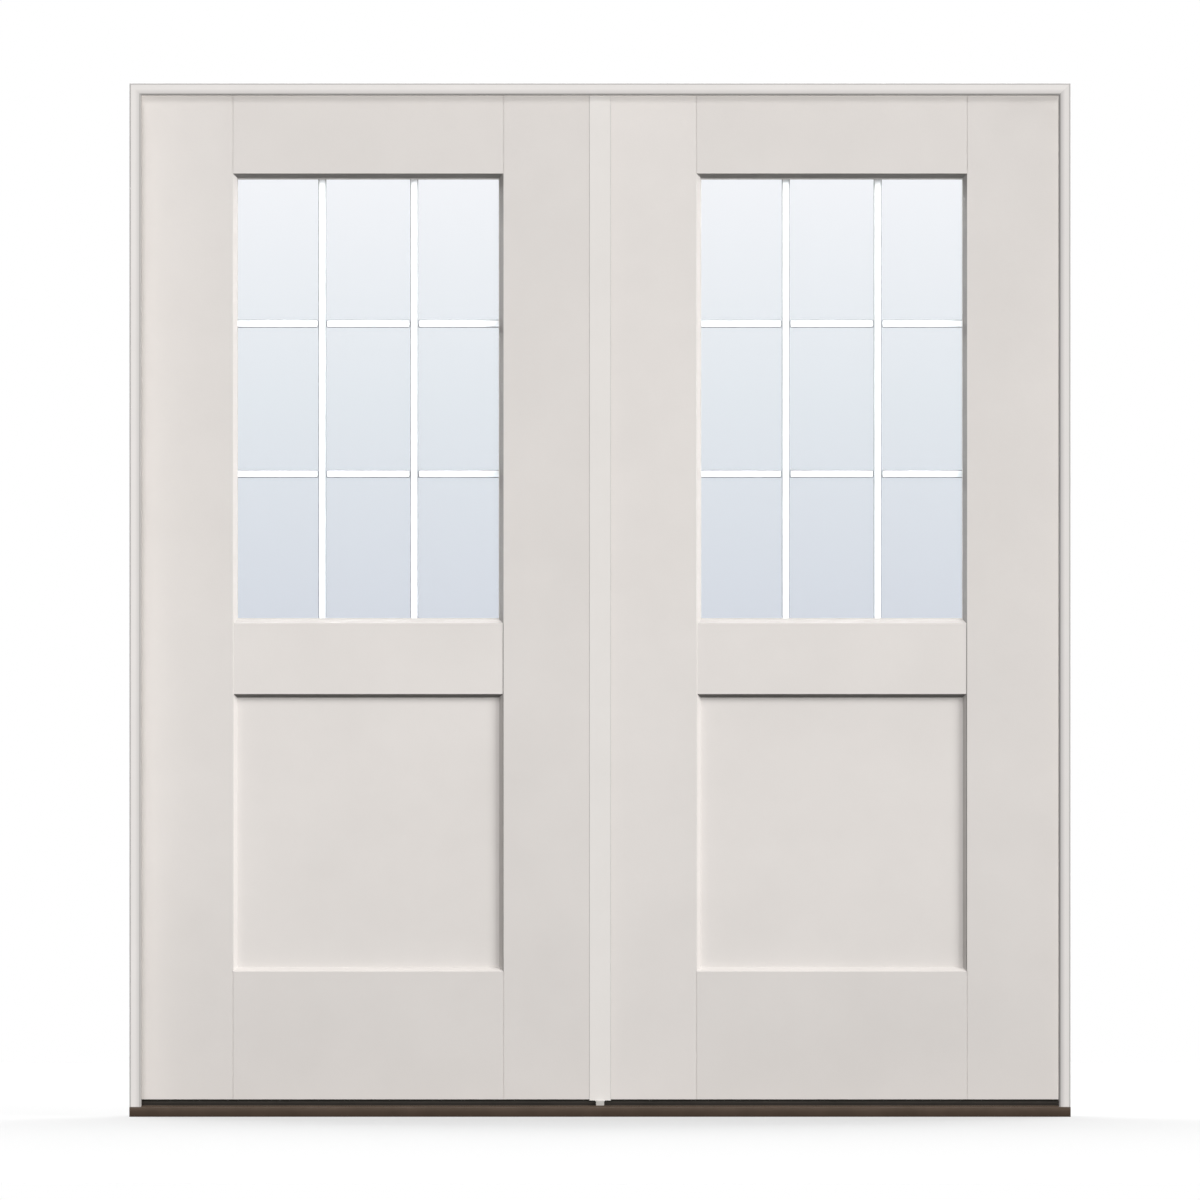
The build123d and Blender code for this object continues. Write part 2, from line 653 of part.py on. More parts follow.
def astragal():
    """T-shaped strip on the left leaf's edge, with a flange over the joint."""
    w, left = FLANGE_HALF_WIDTH, CORE_LEFT
    flange_points = [(-w, FLANGE_FRONT), (w, FLANGE_FRONT), (w, STOP_BACK), (-w, STOP_BACK)]
    flange = rounded_outline(flange_points, [(p, 1.0) for p in flange_points[:2]])
    body = run_upwards(flange, FLANGE_LOW, FLANGE_HIGH)
    body += block((left, CORE_RIGHT_FRONT), (STOP_BACK, LEAF_FRONT), (CORE_LOW, FLANGE_HIGH))
    core_front = [(left, LEAF_FRONT), (CORE_RIGHT_FRONT, LEAF_FRONT)]
    core_back = [(CORE_RIGHT_BACK, ROOM_FACE), (left, ROOM_FACE)]
    body += run_upwards(rounded_outline(core_front + core_back, []), CORE_LOW, CORE_HIGH)
    body -= bolt_bore(CORE_HIGH - BOLT_RECESS, upwards=True)
    return body - bolt_bore(CORE_LOW + BOLT_RECESS, upwards=False)


def astragal_seal():
    """Seals behind the flange: one on the left leaf's face, one that the right leaf closes on."""
    z_range = (FLANGE_LOW, FLANGE_HIGH)
    edge = FLANGE_HALF_WIDTH - 1
    left = block((-edge, CORE_LEFT), (STOP_BACK, LEAF_FRONT), z_range)
    right = block((-CORE_LEFT, edge), (STOP_BACK, LEAF_FRONT - SEAL_CLEARANCE), z_range)
    return [left, right]


def save(name, shape):
    """Write one piece, or a group of like pieces, under its own name."""
    export_step(Compound(shape) if isinstance(shape, list) else shape, f"parts/{name}.step")


def save_frame():
    """Write the fixed frame: jambs, head, sill and seals."""
    left = jamb_left()
    corner_screws = corner_screws_left()
    for screw in corner_screws:
        left -= screw
    strip = side_weatherstrip()
    core = sill_core()
    for screw in corner_screws:
        core = core - screw - to_other_side(screw)
    save("jamb_left", left)
    save("jamb_right", to_other_side(left))
    save("head_jamb", head_jamb())
    save("sill_core", core)
    save("sill_deck", sill_deck())
    save("sill_cap", sill_cap())
    save("sill_cap_screws", cap_screws())
    save("sill_center_pad", sill_center_pad())
    save("corner_pads", corner_pads())
    save("head_strike", head_strike())
    save("weatherstrip_left", strip)
    save("weatherstrip_right", to_other_side(strip))
    save("weatherstrip_head", head_weatherstrip())
    save("frame_corner_screws", corner_screws + [to_other_side(s) for s in corner_screws])


def save_hinges():
    """Write the flaps, pins and screws of all six hinges."""
    pins, jamb_screws, leaf_screws = [], [], []
    for place, height in HINGE_PLACES.items():
        jamb_flap = hinge_flap(height, on_jamb=True)
        leaf_flap = hinge_flap(height, on_jamb=False)
        save(f"hinge_left_{place}_jamb_flap", jamb_flap)
        save(f"hinge_right_{place}_jamb_flap", to_other_side(jamb_flap))
        save(f"hinge_left_{place}_leaf_flap", leaf_flap)
        save(f"hinge_right_{place}_leaf_flap", to_other_side(leaf_flap))
        pins.append(hinge_pin(height))
        jamb_screws += hinge_screws_at(height, on_jamb=True)
        leaf_screws += hinge_screws_at(height, on_jamb=False)
    save("hinge_pins", pins + [to_other_side(p) for p in pins])
    save("hinge_jamb_screws", jamb_screws + [to_other_side(s) for s in jamb_screws])
    save("hinge_leaf_screws_left", leaf_screws)
    save("hinge_leaf_screws_right", [to_other_side(s) for s in leaf_screws])


def save_leaves():
    """Write both leaves. The right one is the left one seen in a mirror."""
    for name, shape in leaf_parts().items():
        placed = Pos(-LEAF_CENTRE_X, 0, 0) * shape
        save(f"left_{name}", placed)
        save(f"right_{name}", to_other_side(placed))


def save_astragal():
    """Write the astragal, its seals and its bolts."""
    save("astragal", astragal())
    save("astragal_seal", astragal_seal())
    save("top_bolt", flush_bolt(CORE_HIGH - BOLT_RECESS, upwards=True))
    save("bottom_bolt", flush_bolt(CORE_LOW + BOLT_RECESS, upwards=False))


os.makedirs("parts", exist_ok=True)
save_frame()
save_hinges()
save_leaves()
save_astragal()
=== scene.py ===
"""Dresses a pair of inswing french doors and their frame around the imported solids.

Meshes are drawn in millimetres, in the same frame as the solids: X to the viewer's right, Y into the room,
Z up, and the origin on the floor under the middle. A finished mesh is turned into metres when it is placed.
"""

import json
import logging
import math
from dataclasses import dataclass, field
from enum import Enum
from typing import Iterable

import bmesh
import bpy
from mathutils import Matrix, Vector

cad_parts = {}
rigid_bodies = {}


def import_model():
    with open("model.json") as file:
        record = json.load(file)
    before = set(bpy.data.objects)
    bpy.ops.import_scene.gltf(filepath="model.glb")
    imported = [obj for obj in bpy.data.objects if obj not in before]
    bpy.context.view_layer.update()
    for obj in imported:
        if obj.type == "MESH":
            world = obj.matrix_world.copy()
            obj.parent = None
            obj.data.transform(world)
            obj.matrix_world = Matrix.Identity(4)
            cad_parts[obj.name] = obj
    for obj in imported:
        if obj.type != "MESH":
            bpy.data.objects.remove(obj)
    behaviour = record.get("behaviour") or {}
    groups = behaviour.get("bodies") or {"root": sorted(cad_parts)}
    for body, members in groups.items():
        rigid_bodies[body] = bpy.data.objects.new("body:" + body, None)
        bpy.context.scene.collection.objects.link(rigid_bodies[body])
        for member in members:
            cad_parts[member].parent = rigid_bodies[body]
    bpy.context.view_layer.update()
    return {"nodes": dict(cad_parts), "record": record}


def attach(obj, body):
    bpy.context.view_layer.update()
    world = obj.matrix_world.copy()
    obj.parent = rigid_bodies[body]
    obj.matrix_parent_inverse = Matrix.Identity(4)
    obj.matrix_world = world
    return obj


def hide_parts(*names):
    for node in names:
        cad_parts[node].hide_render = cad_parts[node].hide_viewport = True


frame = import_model()

MM = 0.001
TONE_AND_SHADE = "board_tone"
SMOOTH_BELOW = math.radians(38)
Pair = tuple[float, float]
Triple = tuple[float, float, float]
Colour = tuple[float, float, float, float]
Node = bpy.types.Node
Socket = bpy.types.NodeSocket
Thing = bpy.types.Object
Mesh = bmesh.types.BMesh
Vert = bmesh.types.BMVert
Facet = bmesh.types.BMFace
Given = bpy.types.NodeOutputs

log = logging.getLogger("french_doors")


class Body(Enum):
    """The bodies that pieces ride on."""

    FRAME = "frame"
    ACTIVE = "active_leaf"
    PASSIVE = "passive_leaf"
    TOP_BOLT = "top_bolt"
    BOTTOM_BOLT = "bottom_bolt"


class Face(Enum):
    """Which face of a leaf a skin covers."""

    STREET = "exterior_skin"
    ROOM = "interior_skin"


class Axis(Enum):
    """The way a drawn bar or a rod runs."""

    X = 0
    Y = 1
    Z = 2


def screen(red: int, green: int, blue: int) -> Colour:
    """Turns a colour as a screen shows it, 0 to 255, into the linear one that shaders take.

    Args:
        red: red share, 0 to 255.
        green: green share.
        blue: blue share.

    Returns:
        The linear colour with full alpha.
    """

    def linear(value: int) -> float:
        """One channel, linear."""
        share = value / 255
        return share / 12.92 if share <= 0.04045 else ((share + 0.055) / 1.055) ** 2.4

    return (linear(red), linear(green), linear(blue), 1.0)


# Shader node boards and the effects that several finishes share


class NodeBoard:
    """A node tree with short ways to add and join nodes."""

    def __init__(self, tree: bpy.types.NodeTree) -> None:
        """Starts on an empty tree."""
        self.tree = tree
        tree.nodes.clear()

    def add(self, kind: str, inputs: dict | None = None, **settings: object) -> Node:
        """Adds a node.

        Args:
            kind: the node's type name, without ShaderNode.
            inputs: values for its sockets. A socket given as a value is joined instead.
            settings: properties of the node.

        Returns:
            The new node.
        """
        node = self.tree.nodes.new("ShaderNode" + kind)
        for key, value in settings.items():
            setattr(node, key, value)
        for key, value in (inputs or {}).items():
            if isinstance(value, Socket):
                self.tree.links.new(value, node.inputs[key])
            else:
                node.inputs[key].default_value = value
        return node

    def join(self, source: Socket, target: Socket) -> None:
        """Joins two sockets."""
        self.tree.links.new(source, target)

    def place(self, stretch: Triple | Socket = (1.0, 1.0, 1.0)) -> Socket:
        """Object coordinates, stretched along the axes."""
        where = self.add("TexCoord").outputs["Object"]
        return self.add("Mapping", {"Vector": where, "Scale": stretch}).outputs["Vector"]

    def normal(self) -> Socket:
        """The way the surface faces."""
        return self.add("NewGeometry").outputs["Normal"]

    def part(self, vector: Socket, axis: Axis) -> Socket:
        """One of a vector's three parts."""
        return self.add("SeparateXYZ", {"Vector": vector}).outputs[axis.name]

    def noise(self, where: Socket, scale: float | Socket, detail: float, **inputs: float) -> Socket:
        """Cloudy noise between 0 and 1."""
        sockets = {"Vector": where, "Scale": scale, "Detail": detail, **inputs}
        return self.add("TexNoise", sockets).outputs["Fac"]

    def maths(self, operation: str, first: object, second: object = 0.0) -> Socket:
        """One sum with one or two values."""
        return self.add("Math", {0: first, 1: second}, operation=operation).outputs[0]

    def ranged(
        self, value: Socket, start: object, end: object, low: object = 0.0, high: object = 1.0
    ) -> Socket:
        """Takes a value from one range to another, and keeps it inside.

        Args:
            value: the value.
            start: what becomes low.
            end: what becomes high.
            low: where the new range begins.
            high: where it ends.

        Returns:
            The value in its new range.
        """
        sockets = {"Value": value, "From Min": start, "From Max": end, "To Min": low, "To Max": high}
        return self.add("MapRange", sockets).outputs["Result"]

    def mixed(self, share: object, first: object, second: object, way: str = "MIX") -> Socket:
        """Mixes two colours.

        Args:
            share: how much of the second colour there is.
            first: the first colour.
            second: the second colour.
            way: the mix's blend type.

        Returns:
            The mixed colour.
        """
        sockets = {"Factor": share, "A": first, "B": second}
        return self.add("Mix", sockets, data_type="RGBA", blend_type=way).outputs["Result"]


class Effect(Enum):
    """The shared effects, each a node group of its own."""

    CLOUDING = "paint_clouding"
    PEEL = "sprayed_peel"
    DRAWN = "drawn_streaks"
    DUST = "settled_dust"
    BAND = "band_by_place"


GROUP_SOCKETS = {
    Effect.CLOUDING: (
        {"Colour": "NodeSocketColor", "Shade": "NodeSocketColor", "Scale": "NodeSocketFloat"},
        {"Colour": "NodeSocketColor", "Mask": "NodeSocketFloat"},
    ),
    Effect.PEEL: ({"Scale": "NodeSocketFloat"}, {"Height": "NodeSocketFloat"}),
    Effect.DRAWN: (
        {"Scale": "NodeSocketFloat", "Stretch": "NodeSocketVector", "Low": "NodeSocketFloat",
         "High": "NodeSocketFloat"},
        {"Roughness": "NodeSocketFloat", "Height": "NodeSocketFloat"},
    ),
    Effect.DUST: (
        {"Colour": "NodeSocketColor", "Dust": "NodeSocketColor", "Amount": "NodeSocketFloat"},
        {"Colour": "NodeSocketColor"},
    ),
    Effect.BAND: (
        {"Half Width": "NodeSocketFloat", "Height": "NodeSocketFloat", "Inside": "NodeSocketFloat",
         "Outside": "NodeSocketFloat"},
        {"Mask": "NodeSocketFloat"},
    ),
}


class EffectLibrary:
    """Builds each shared effect once. An effect's maker is the method of its name."""

    def __init__(self) -> None:
        """Starts with no groups built."""
        self.built: dict[Effect, bpy.types.NodeTree] = {}

    def group(self, effect: Effect) -> bpy.types.NodeTree:
        """The node group of an effect, built at its first use."""
        if effect not in self.built:
            tree = bpy.data.node_groups.new(effect.value, "ShaderNodeTree")
            board = NodeBoard(tree)
            for sockets, side in zip(GROUP_SOCKETS[effect], ("INPUT", "OUTPUT")):
                for name, kind in sockets.items():
                    tree.interface.new_socket(name, in_out=side, socket_type=kind)
            entry, leave = tree.nodes.new("NodeGroupInput"), tree.nodes.new("NodeGroupOutput")
            results = getattr(self, effect.name.lower())(board, entry.outputs)
            for name, socket in results.items():
                board.join(socket, leave.inputs[name])
            self.built[effect] = tree
        return self.built[effect]

    def clouding(self, board: NodeBoard, given: Given) -> dict[str, Socket]:
        """Faint clouds of a second shade, as a sprayed coat has."""
        noise = board.noise(board.place(), given["Scale"], 5.0, Roughness=0.62)
        mask = board.ranged(noise, 0.36, 0.66)
        return {"Colour": board.mixed(mask, given["Colour"], given["Shade"]), "Mask": mask}

    def peel(self, board: NodeBoard, given: Given) -> dict[str, Socket]:
        """The fine orange peel of a sprayed or moulded surface."""
        return {"Height": board.noise(board.place(), given["Scale"], 3.0)}

    def drawn(self, board: NodeBoard, given: Given) -> dict[str, Socket]:
        """Long fine streaks along the way a metal or vinyl was drawn."""
        noise = board.noise(board.place(given["Stretch"]), given["Scale"], 4.0)
        return {"Roughness": board.ranged(noise, 0.3, 0.7, given["Low"], given["High"]), "Height": noise}

    def dust(self, board: NodeBoard, given: Given) -> dict[str, Socket]:
        """A little pale dust on what faces up."""
        upward = board.ranged(board.part(board.normal(), Axis.Z), 0.3, 1.0)
        patches = board.maths("MULTIPLY", upward, board.noise(board.place(), 55.0, 4.0))
        mask = board.maths("MULTIPLY", patches, given["Amount"])
        return {"Colour": board.mixed(mask, given["Colour"], given["Dust"])}

    def band(self, board: NodeBoard, given: Given) -> dict[str, Socket]:
        """A mask round the doorway for painted shade bands: 1 at Inside and 0 at Outside of an upright
        rectangle's border.
        """
        where = board.place()
        across = board.maths("ABSOLUTE", board.part(where, Axis.X))
        beside = board.maths("SUBTRACT", across, given["Half Width"])
        above = board.maths("SUBTRACT", board.part(where, Axis.Z), given["Height"])
        distance = board.maths("MAXIMUM", beside, above)
        return {"Mask": board.ranged(distance, given["Outside"], given["Inside"])}


EFFECTS = EffectLibrary()
FINISHED: dict[str, bpy.types.Material] = {}
DUST_COLOUR = screen(168, 162, 152)


# Finishes


@dataclass(frozen=True)
class Finish:
    """What every finish has: a name, a colour with a second shade, and how rough it is."""

    name: str
    colour: Colour
    shade: Colour
    roughness: float = 0.5
    cloud_scale: float = 6.0
    specular: float = 0.5
    dust: float = 0.0

    def material(self) -> bpy.types.Material:
        """The finish as a material, made at its first use."""
        made = FINISHED.get(self.name)
        if made is None:
            made = FINISHED[self.name] = bpy.data.materials.new(self.name)
            made.use_nodes = True
            board = NodeBoard(made.node_tree)
            values = {"Roughness": self.roughness, "Specular IOR Level": self.specular}
            shader = board.add("BsdfPrincipled", values)
            output = board.add("OutputMaterial", {"Surface": shader.outputs["BSDF"]})
            board.join(self.coloured(board), shader.inputs["Base Color"])
            self.dress(board, shader, output)
        return made

    def effect(self, board: NodeBoard, effect: Effect, inputs: dict) -> Given:
        """Puts a shared effect on the board with this finish's values."""
        return board.add("Group", inputs, node_tree=EFFECTS.group(effect)).outputs

    def coloured(self, board: NodeBoard) -> Socket:
        """The colour over the surface, with clouds and, where asked for, dust."""
        values = {"Colour": self.colour, "Shade": self.shade, "Scale": self.cloud_scale}
        result = self.effect(board, Effect.CLOUDING, values)["Colour"]
        if self.dust:
            values = {"Colour": result, "Dust": DUST_COLOUR, "Amount": self.dust}
            result = self.effect(board, Effect.DUST, values)["Colour"]
        return result

    def dress(self, board: NodeBoard, shader: Node, output: Node) -> None:
        """Adds what is special to this kind of finish."""

    def bumped(self, board: NodeBoard, shader: Node, height: object, strength: float, depth: float) -> None:
        """Feeds a height into the shader's normal."""
        bump = board.add("Bump", {"Height": height, "Strength": strength, "Distance": depth})
        board.join(bump.outputs["Normal"], shader.inputs["Normal"])


@dataclass(frozen=True)
class Paint(Finish):
    """Factory paint on moulded fibreglass or composite."""

    peel_scale: float = 260.0
    peel_strength: float = 0.12
    peel_depth: float = 0.0006
    gloss_scale: float = 22.0
    gloss_spread: float = 0.06

    def dress(self, board: NodeBoard, shader: Node, output: Node) -> None:
        """Adds the orange peel and a slightly uneven gloss."""
        height = self.effect(board, Effect.PEEL, {"Scale": self.peel_scale})["Height"]
        self.bumped(board, shader, height, self.peel_strength, self.peel_depth)
        gloss = {
            "Scale": self.gloss_scale, "Stretch": (1.0, 1.0, 1.0), "Low": self.roughness - self.gloss_spread,
            "High": self.roughness + self.gloss_spread,
        }
        board.join(self.effect(board, Effect.DRAWN, gloss)["Roughness"], shader.inputs["Roughness"])


@dataclass(frozen=True)
class BoardPaint(Paint):
    """Paint on the leaves, where each board of the moulding has its own faint tone, with painted shade: right
    stiles darker, and the mouldings' slopes darkened by the way they face.
    """

    low_tone: float = 0.955
    low_edge: Pair = (0.15, 0.75)

    def coloured(self, board: NodeBoard) -> Socket:
        """The clouded colour times the board's tone and painted shade, a little deeper low down."""
        tone = board.add("Attribute", attribute_name=TONE_AND_SHADE).outputs["Fac"]
        height = board.part(board.place(), Axis.Z)
        whole = board.maths("MULTIPLY", tone, board.ranged(height, *self.low_edge, self.low_tone))
        grey = board.add("CombineColor", {"Red": whole, "Green": whole, "Blue": whole}).outputs["Color"]
        return board.mixed(1.0, super().coloured(board), grey, "MULTIPLY")


@dataclass(frozen=True)
class JambPaint(Paint):
    """Paint on jambs and head, with painted shade: it deepens beside the doorway, the stop's face is painted
    grey for the shade between jamb and leaf, and the outer arris is painted darker.
    """

    # painted shade: the stop's face is painted grey where the shaded line between jamb and leaf falls
    facing: Colour = (0.4, 0.4, 0.4, 1.0)
    # painted shade: the jamb's face darkens towards the doorway
    edge: Colour = (0.6, 0.6, 0.6, 1.0)
    # painted shade: a darker line along the outer arris
    arris: Colour = (0.6, 0.6, 0.6, 1.0)
    rabbet: Pair = (0.92075, 2.0447)
    outline: Pair = (0.9398, 2.06375)
    edge_band: Pair = (-0.0008, 0.0085)
    facing_band: Pair = (-0.0005, -0.0003)
    arris_band: Pair = (-0.0024, -0.0031)

    def coloured(self, board: NodeBoard) -> Socket:
        """The clouded colour with its painted shade bands."""
        result = super().coloured(board)
        for (half, height), (inside, outside), colour in (
            (self.rabbet, self.edge_band, self.edge),
            (self.rabbet, self.facing_band, self.facing),
            (self.outline, self.arris_band, self.arris),
        ):
            values = {"Half Width": half, "Height": height, "Inside": inside, "Outside": outside}
            result = board.mixed(self.effect(board, Effect.BAND, values)["Mask"], result, colour)
        return result


@dataclass(frozen=True)
class BarEnamel(Paint):
    """White enamel on the flat bars, with grey painted down their bevelled edges as painted shade."""

    # painted shade on the bars' bevels
    edge: Colour = (0.6, 0.6, 0.6, 1.0)
    turn: Pair = (0.97, 0.9)

    def coloured(self, board: NodeBoard) -> Socket:
        """White on what faces out or in, grey on the bevels as painted shade."""
        facing = board.maths("ABSOLUTE", board.part(board.normal(), Axis.Y))
        return board.mixed(board.ranged(facing, *self.turn), super().coloured(board), self.edge)


@dataclass(frozen=True)
class Drawn(Finish):
    """Extruded or brushed stock, metal or vinyl, with streaks along one axis."""

    metallic: float = 0.0
    streaks: Triple = (0.02, 1.0, 1.0)
    streak_scale: float = 900.0
    spread: float = 0.1
    depth: float = 0.0003
    coat: float = 0.0

    def dress(self, board: NodeBoard, shader: Node, output: Node) -> None:
        """Adds the streaks to gloss and relief."""
        shader.inputs["Metallic"].default_value = self.metallic
        shader.inputs["Coat Weight"].default_value = self.coat
        values = {
            "Scale": self.streak_scale, "Stretch": self.streaks, "Low": self.roughness - self.spread,
            "High": self.roughness + self.spread,
        }
        streaks = self.effect(board, Effect.DRAWN, values)
        board.join(streaks["Roughness"], shader.inputs["Roughness"])
        self.bumped(board, shader, streaks["Height"], 0.25, self.depth)


@dataclass(frozen=True)
class StripPaint(Drawn):
    """Paint on the astragal, with painted shade: thin and grey on the two edges of its flange."""

    # painted shade along the flange's two edges
    edge: Colour = (0.5, 0.5, 0.5, 1.0)
    flange_half: float = 0.0215
    edge_band: Pair = (-0.0005, -0.0009)
    above_all: float = 9.0

    def coloured(self, board: NodeBoard) -> Socket:
        """The clouded colour with its edges greyed as painted shade."""
        inside, outside = self.edge_band
        values = {"Half Width": self.flange_half, "Height": self.above_all, "Inside": inside}
        values["Outside"] = outside
        mask = self.effect(board, Effect.BAND, values)["Mask"]
        return board.mixed(mask, super().coloured(board), self.edge)


@dataclass(frozen=True)
class Wood(Finish):
    """Clear softwood or laminated lumber, with grain along the height."""

    grain: Triple = (1.0, 1.0, 0.05)

    def coloured(self, board: NodeBoard) -> Socket:
        """Growth rings drawn out along the grain."""
        noise = board.noise(board.place(self.grain), 34.0, 6.0, Distortion=0.6)
        return board.mixed(board.ranged(noise, 0.35, 0.62), self.colour, self.shade)

    def dress(self, board: NodeBoard, shader: Node, output: Node) -> None:
        """Adds the open grain."""
        values = {"Scale": 700.0, "Stretch": self.grain, "Low": 0.55, "High": 0.75}
        self.bumped(board, shader, self.effect(board, Effect.DRAWN, values)["Height"], 0.3, 0.0004)


@dataclass(frozen=True)
class Cellular(Finish):
    """Foam or composite with fine cells."""

    cell_scale: float = 900.0
    depth: float = 0.0006

    def dress(self, board: NodeBoard, shader: Node, output: Node) -> None:
        """Adds the cells as relief."""
        cells = board.add("TexVoronoi", {"Vector": board.place(), "Scale": self.cell_scale})
        self.bumped(board, shader, cells.outputs["Distance"], 0.35, self.depth)


@dataclass(frozen=True)
class Glazing(Finish):
    """Clear glass with a painted reflection: a faint blue grey that deepens downwards."""

    low: float = 0.984
    high: float = 1.885
    middle: Colour = (0.9, 0.9, 0.9, 1.0)
    clear: Colour = (0.96, 0.97, 0.97, 1.0)

    def coloured(self, board: NodeBoard) -> Socket:
        """The painted reflection by height on the pane: a tint that deepens downwards."""
        share = board.ranged(board.part(board.place(), Axis.Z), self.low, self.high)
        ramp = board.add("ValToRGB", {"Fac": share})
        stops = ramp.color_ramp.elements
        stops[0].color, stops[1].color = self.shade, self.colour
        stops.new(0.5).color = self.middle
        return ramp.outputs["Color"]

    def dress(self, board: NodeBoard, shader: Node, output: Node) -> None:
        """Lets light through, also for shadows."""
        shader.inputs["Transmission Weight"].default_value = 1.0
        shader.inputs["IOR"].default_value = 1.45
        clear = board.add("BsdfTransparent", {"Color": self.clear})
        through = board.add("LightPath").outputs["Is Shadow Ray"]
        mixed = board.add("MixShader", {0: through, 1: shader.outputs["BSDF"], 2: clear.outputs["BSDF"]})
        board.join(mixed.outputs["Shader"], output.inputs["Surface"])


DOOR_PAINT = BoardPaint(
    "painted_fibreglass", screen(224, 219, 215), screen(220, 215, 211), 0.5, 3.2, specular=0.2
)
# facing, edge and arris are painted shade: the stop's grey face, the darkening beside the doorway, the darker
# outer arris
FRAME_PAINT = JambPaint(
    "painted_frame", screen(231, 227, 224), screen(228, 224, 221), 0.46, 4.0, specular=0.2,
    peel_strength=0.08, facing=screen(176, 173, 170), edge=screen(206, 202, 199), arris=screen(188, 185, 183)
)
# a darker copy of the frame paint for the right jamb, as painted shade
SHADED_FRAME_PAINT = JambPaint(
    "painted_frame_shaded", screen(224, 220, 217), screen(221, 217, 214), 0.46, 4.0, specular=0.2,
    peel_strength=0.08, facing=screen(150, 147, 145), edge=screen(188, 184, 182), arris=screen(180, 177, 175)
)
# edge: painted shade along the flange's two edges
ASTRAGAL_PAINT = StripPaint(
    "painted_astragal", screen(227, 223, 219), screen(224, 220, 216), 0.42, 5.0, specular=0.2,
    streaks=(1.0, 1.0, 0.02), spread=0.05, edge=screen(178, 175, 172)
)
WOOD = Wood("pine_stile", screen(214, 186, 142), screen(186, 148, 100), 0.6)
RAIL = Cellular("composite_rail", screen(196, 190, 178), screen(180, 173, 160), 0.7, 9.0)
FOAM = Cellular("core_foam", screen(226, 216, 176), screen(208, 196, 150), 0.85, 12.0, cell_scale=600.0)
# a painted reflection: the glass runs from pale at the top to blue grey low down
GLASS = Glazing(
    "insulating_glass", screen(249, 250, 252), screen(232, 235, 240), 0.0, middle=screen(240, 243, 246)
)
SPACER = Drawn("spacer_metal", screen(176, 178, 180), screen(160, 162, 165), 0.38, 20.0, metallic=0.9)
# edge: painted shade on the bars' bevels
GRILLE = BarEnamel(
    "white_enamel", screen(240, 240, 239), screen(237, 237, 236), 0.6, 8.0, specular=0.1, peel_strength=0.04,
    edge=screen(132, 131, 133)
)
BRONZE = Drawn("bronze_anodised", screen(75, 62, 52), screen(68, 56, 46), 0.5, 14.0, specular=0.08, dust=0.05)
CAP = Drawn("cap_vinyl", screen(42, 38, 34), screen(36, 33, 29), 0.55, 18.0, specular=0.1, dust=0.08)
SILL_CORE = Cellular(
    "sill_core_composite", screen(118, 108, 96), screen(98, 89, 78), 0.75, 16.0, cell_scale=1400.0
)
SEAL = Cellular(
    "seal_foam", screen(186, 180, 172), screen(170, 164, 156), 0.7, 30.0, cell_scale=1600.0, depth=0.0002
)
DARK_SEAL = Cellular("seal_foam_dark", screen(92, 89, 85), screen(80, 77, 73), 0.75, 30.0, cell_scale=1600.0)
SWEEP = Drawn("sweep_vinyl", screen(42, 39, 35), screen(36, 33, 29), 0.55, 20.0, specular=0.1)
GREY_PAD = Cellular("pad_foam", screen(190, 187, 183), screen(178, 175, 170), 0.8, 40.0, cell_scale=1300.0)
HINGE_STEEL = Drawn(
    "satin_steel", screen(186, 184, 180), screen(170, 168, 164), 0.32, 20.0, metallic=1.0,
    streaks=(1.0, 1.0, 0.03)
)
ZINC = Drawn(
    "zinc_plated", screen(178, 180, 182), screen(158, 160, 164), 0.3, 60.0, metallic=1.0, streaks=(1, 1, 1)
)
TAPE = Cellular("glazing_foam", screen(222, 219, 216), screen(214, 211, 208), 0.8, 30.0)


# Drawing pieces


def cut(mesh: Mesh, point: Triple, normal: Triple, faces: list[Facet] | None = None) -> None:
    """Divides faces along a plane.

    Args:
        mesh: the mesh.
        point: a point on the plane.
        normal: its normal.
        faces: the faces to divide. All of them without it.
    """
    chosen = faces or list(mesh.faces)
    edges = {edge for face in chosen for edge in face.edges}
    corners = {corner for face in chosen for corner in face.verts}
    bmesh.ops.bisect_plane(
        mesh, geom=[*corners, *edges, *chosen], dist=0.0005, plane_co=point, plane_no=normal
    )


def pulled(mesh: Mesh, faces: list[Facet], step: Triple, keep: bool = False) -> list[Vert]:
    """Draws faces out along a step, with walls behind them.

    Args:
        mesh: the mesh.
        faces: the faces.
        step: how far they go.
        keep: whether the faces also stay where they were.

    Returns:
        The corners that moved.
    """
    made = bmesh.ops.extrude_face_region(mesh, geom=faces, use_keep_orig=keep)["geom"]
    moved = [item for item in made if isinstance(item, Vert)]
    bmesh.ops.translate(mesh, verts=moved, vec=step)
    return moved


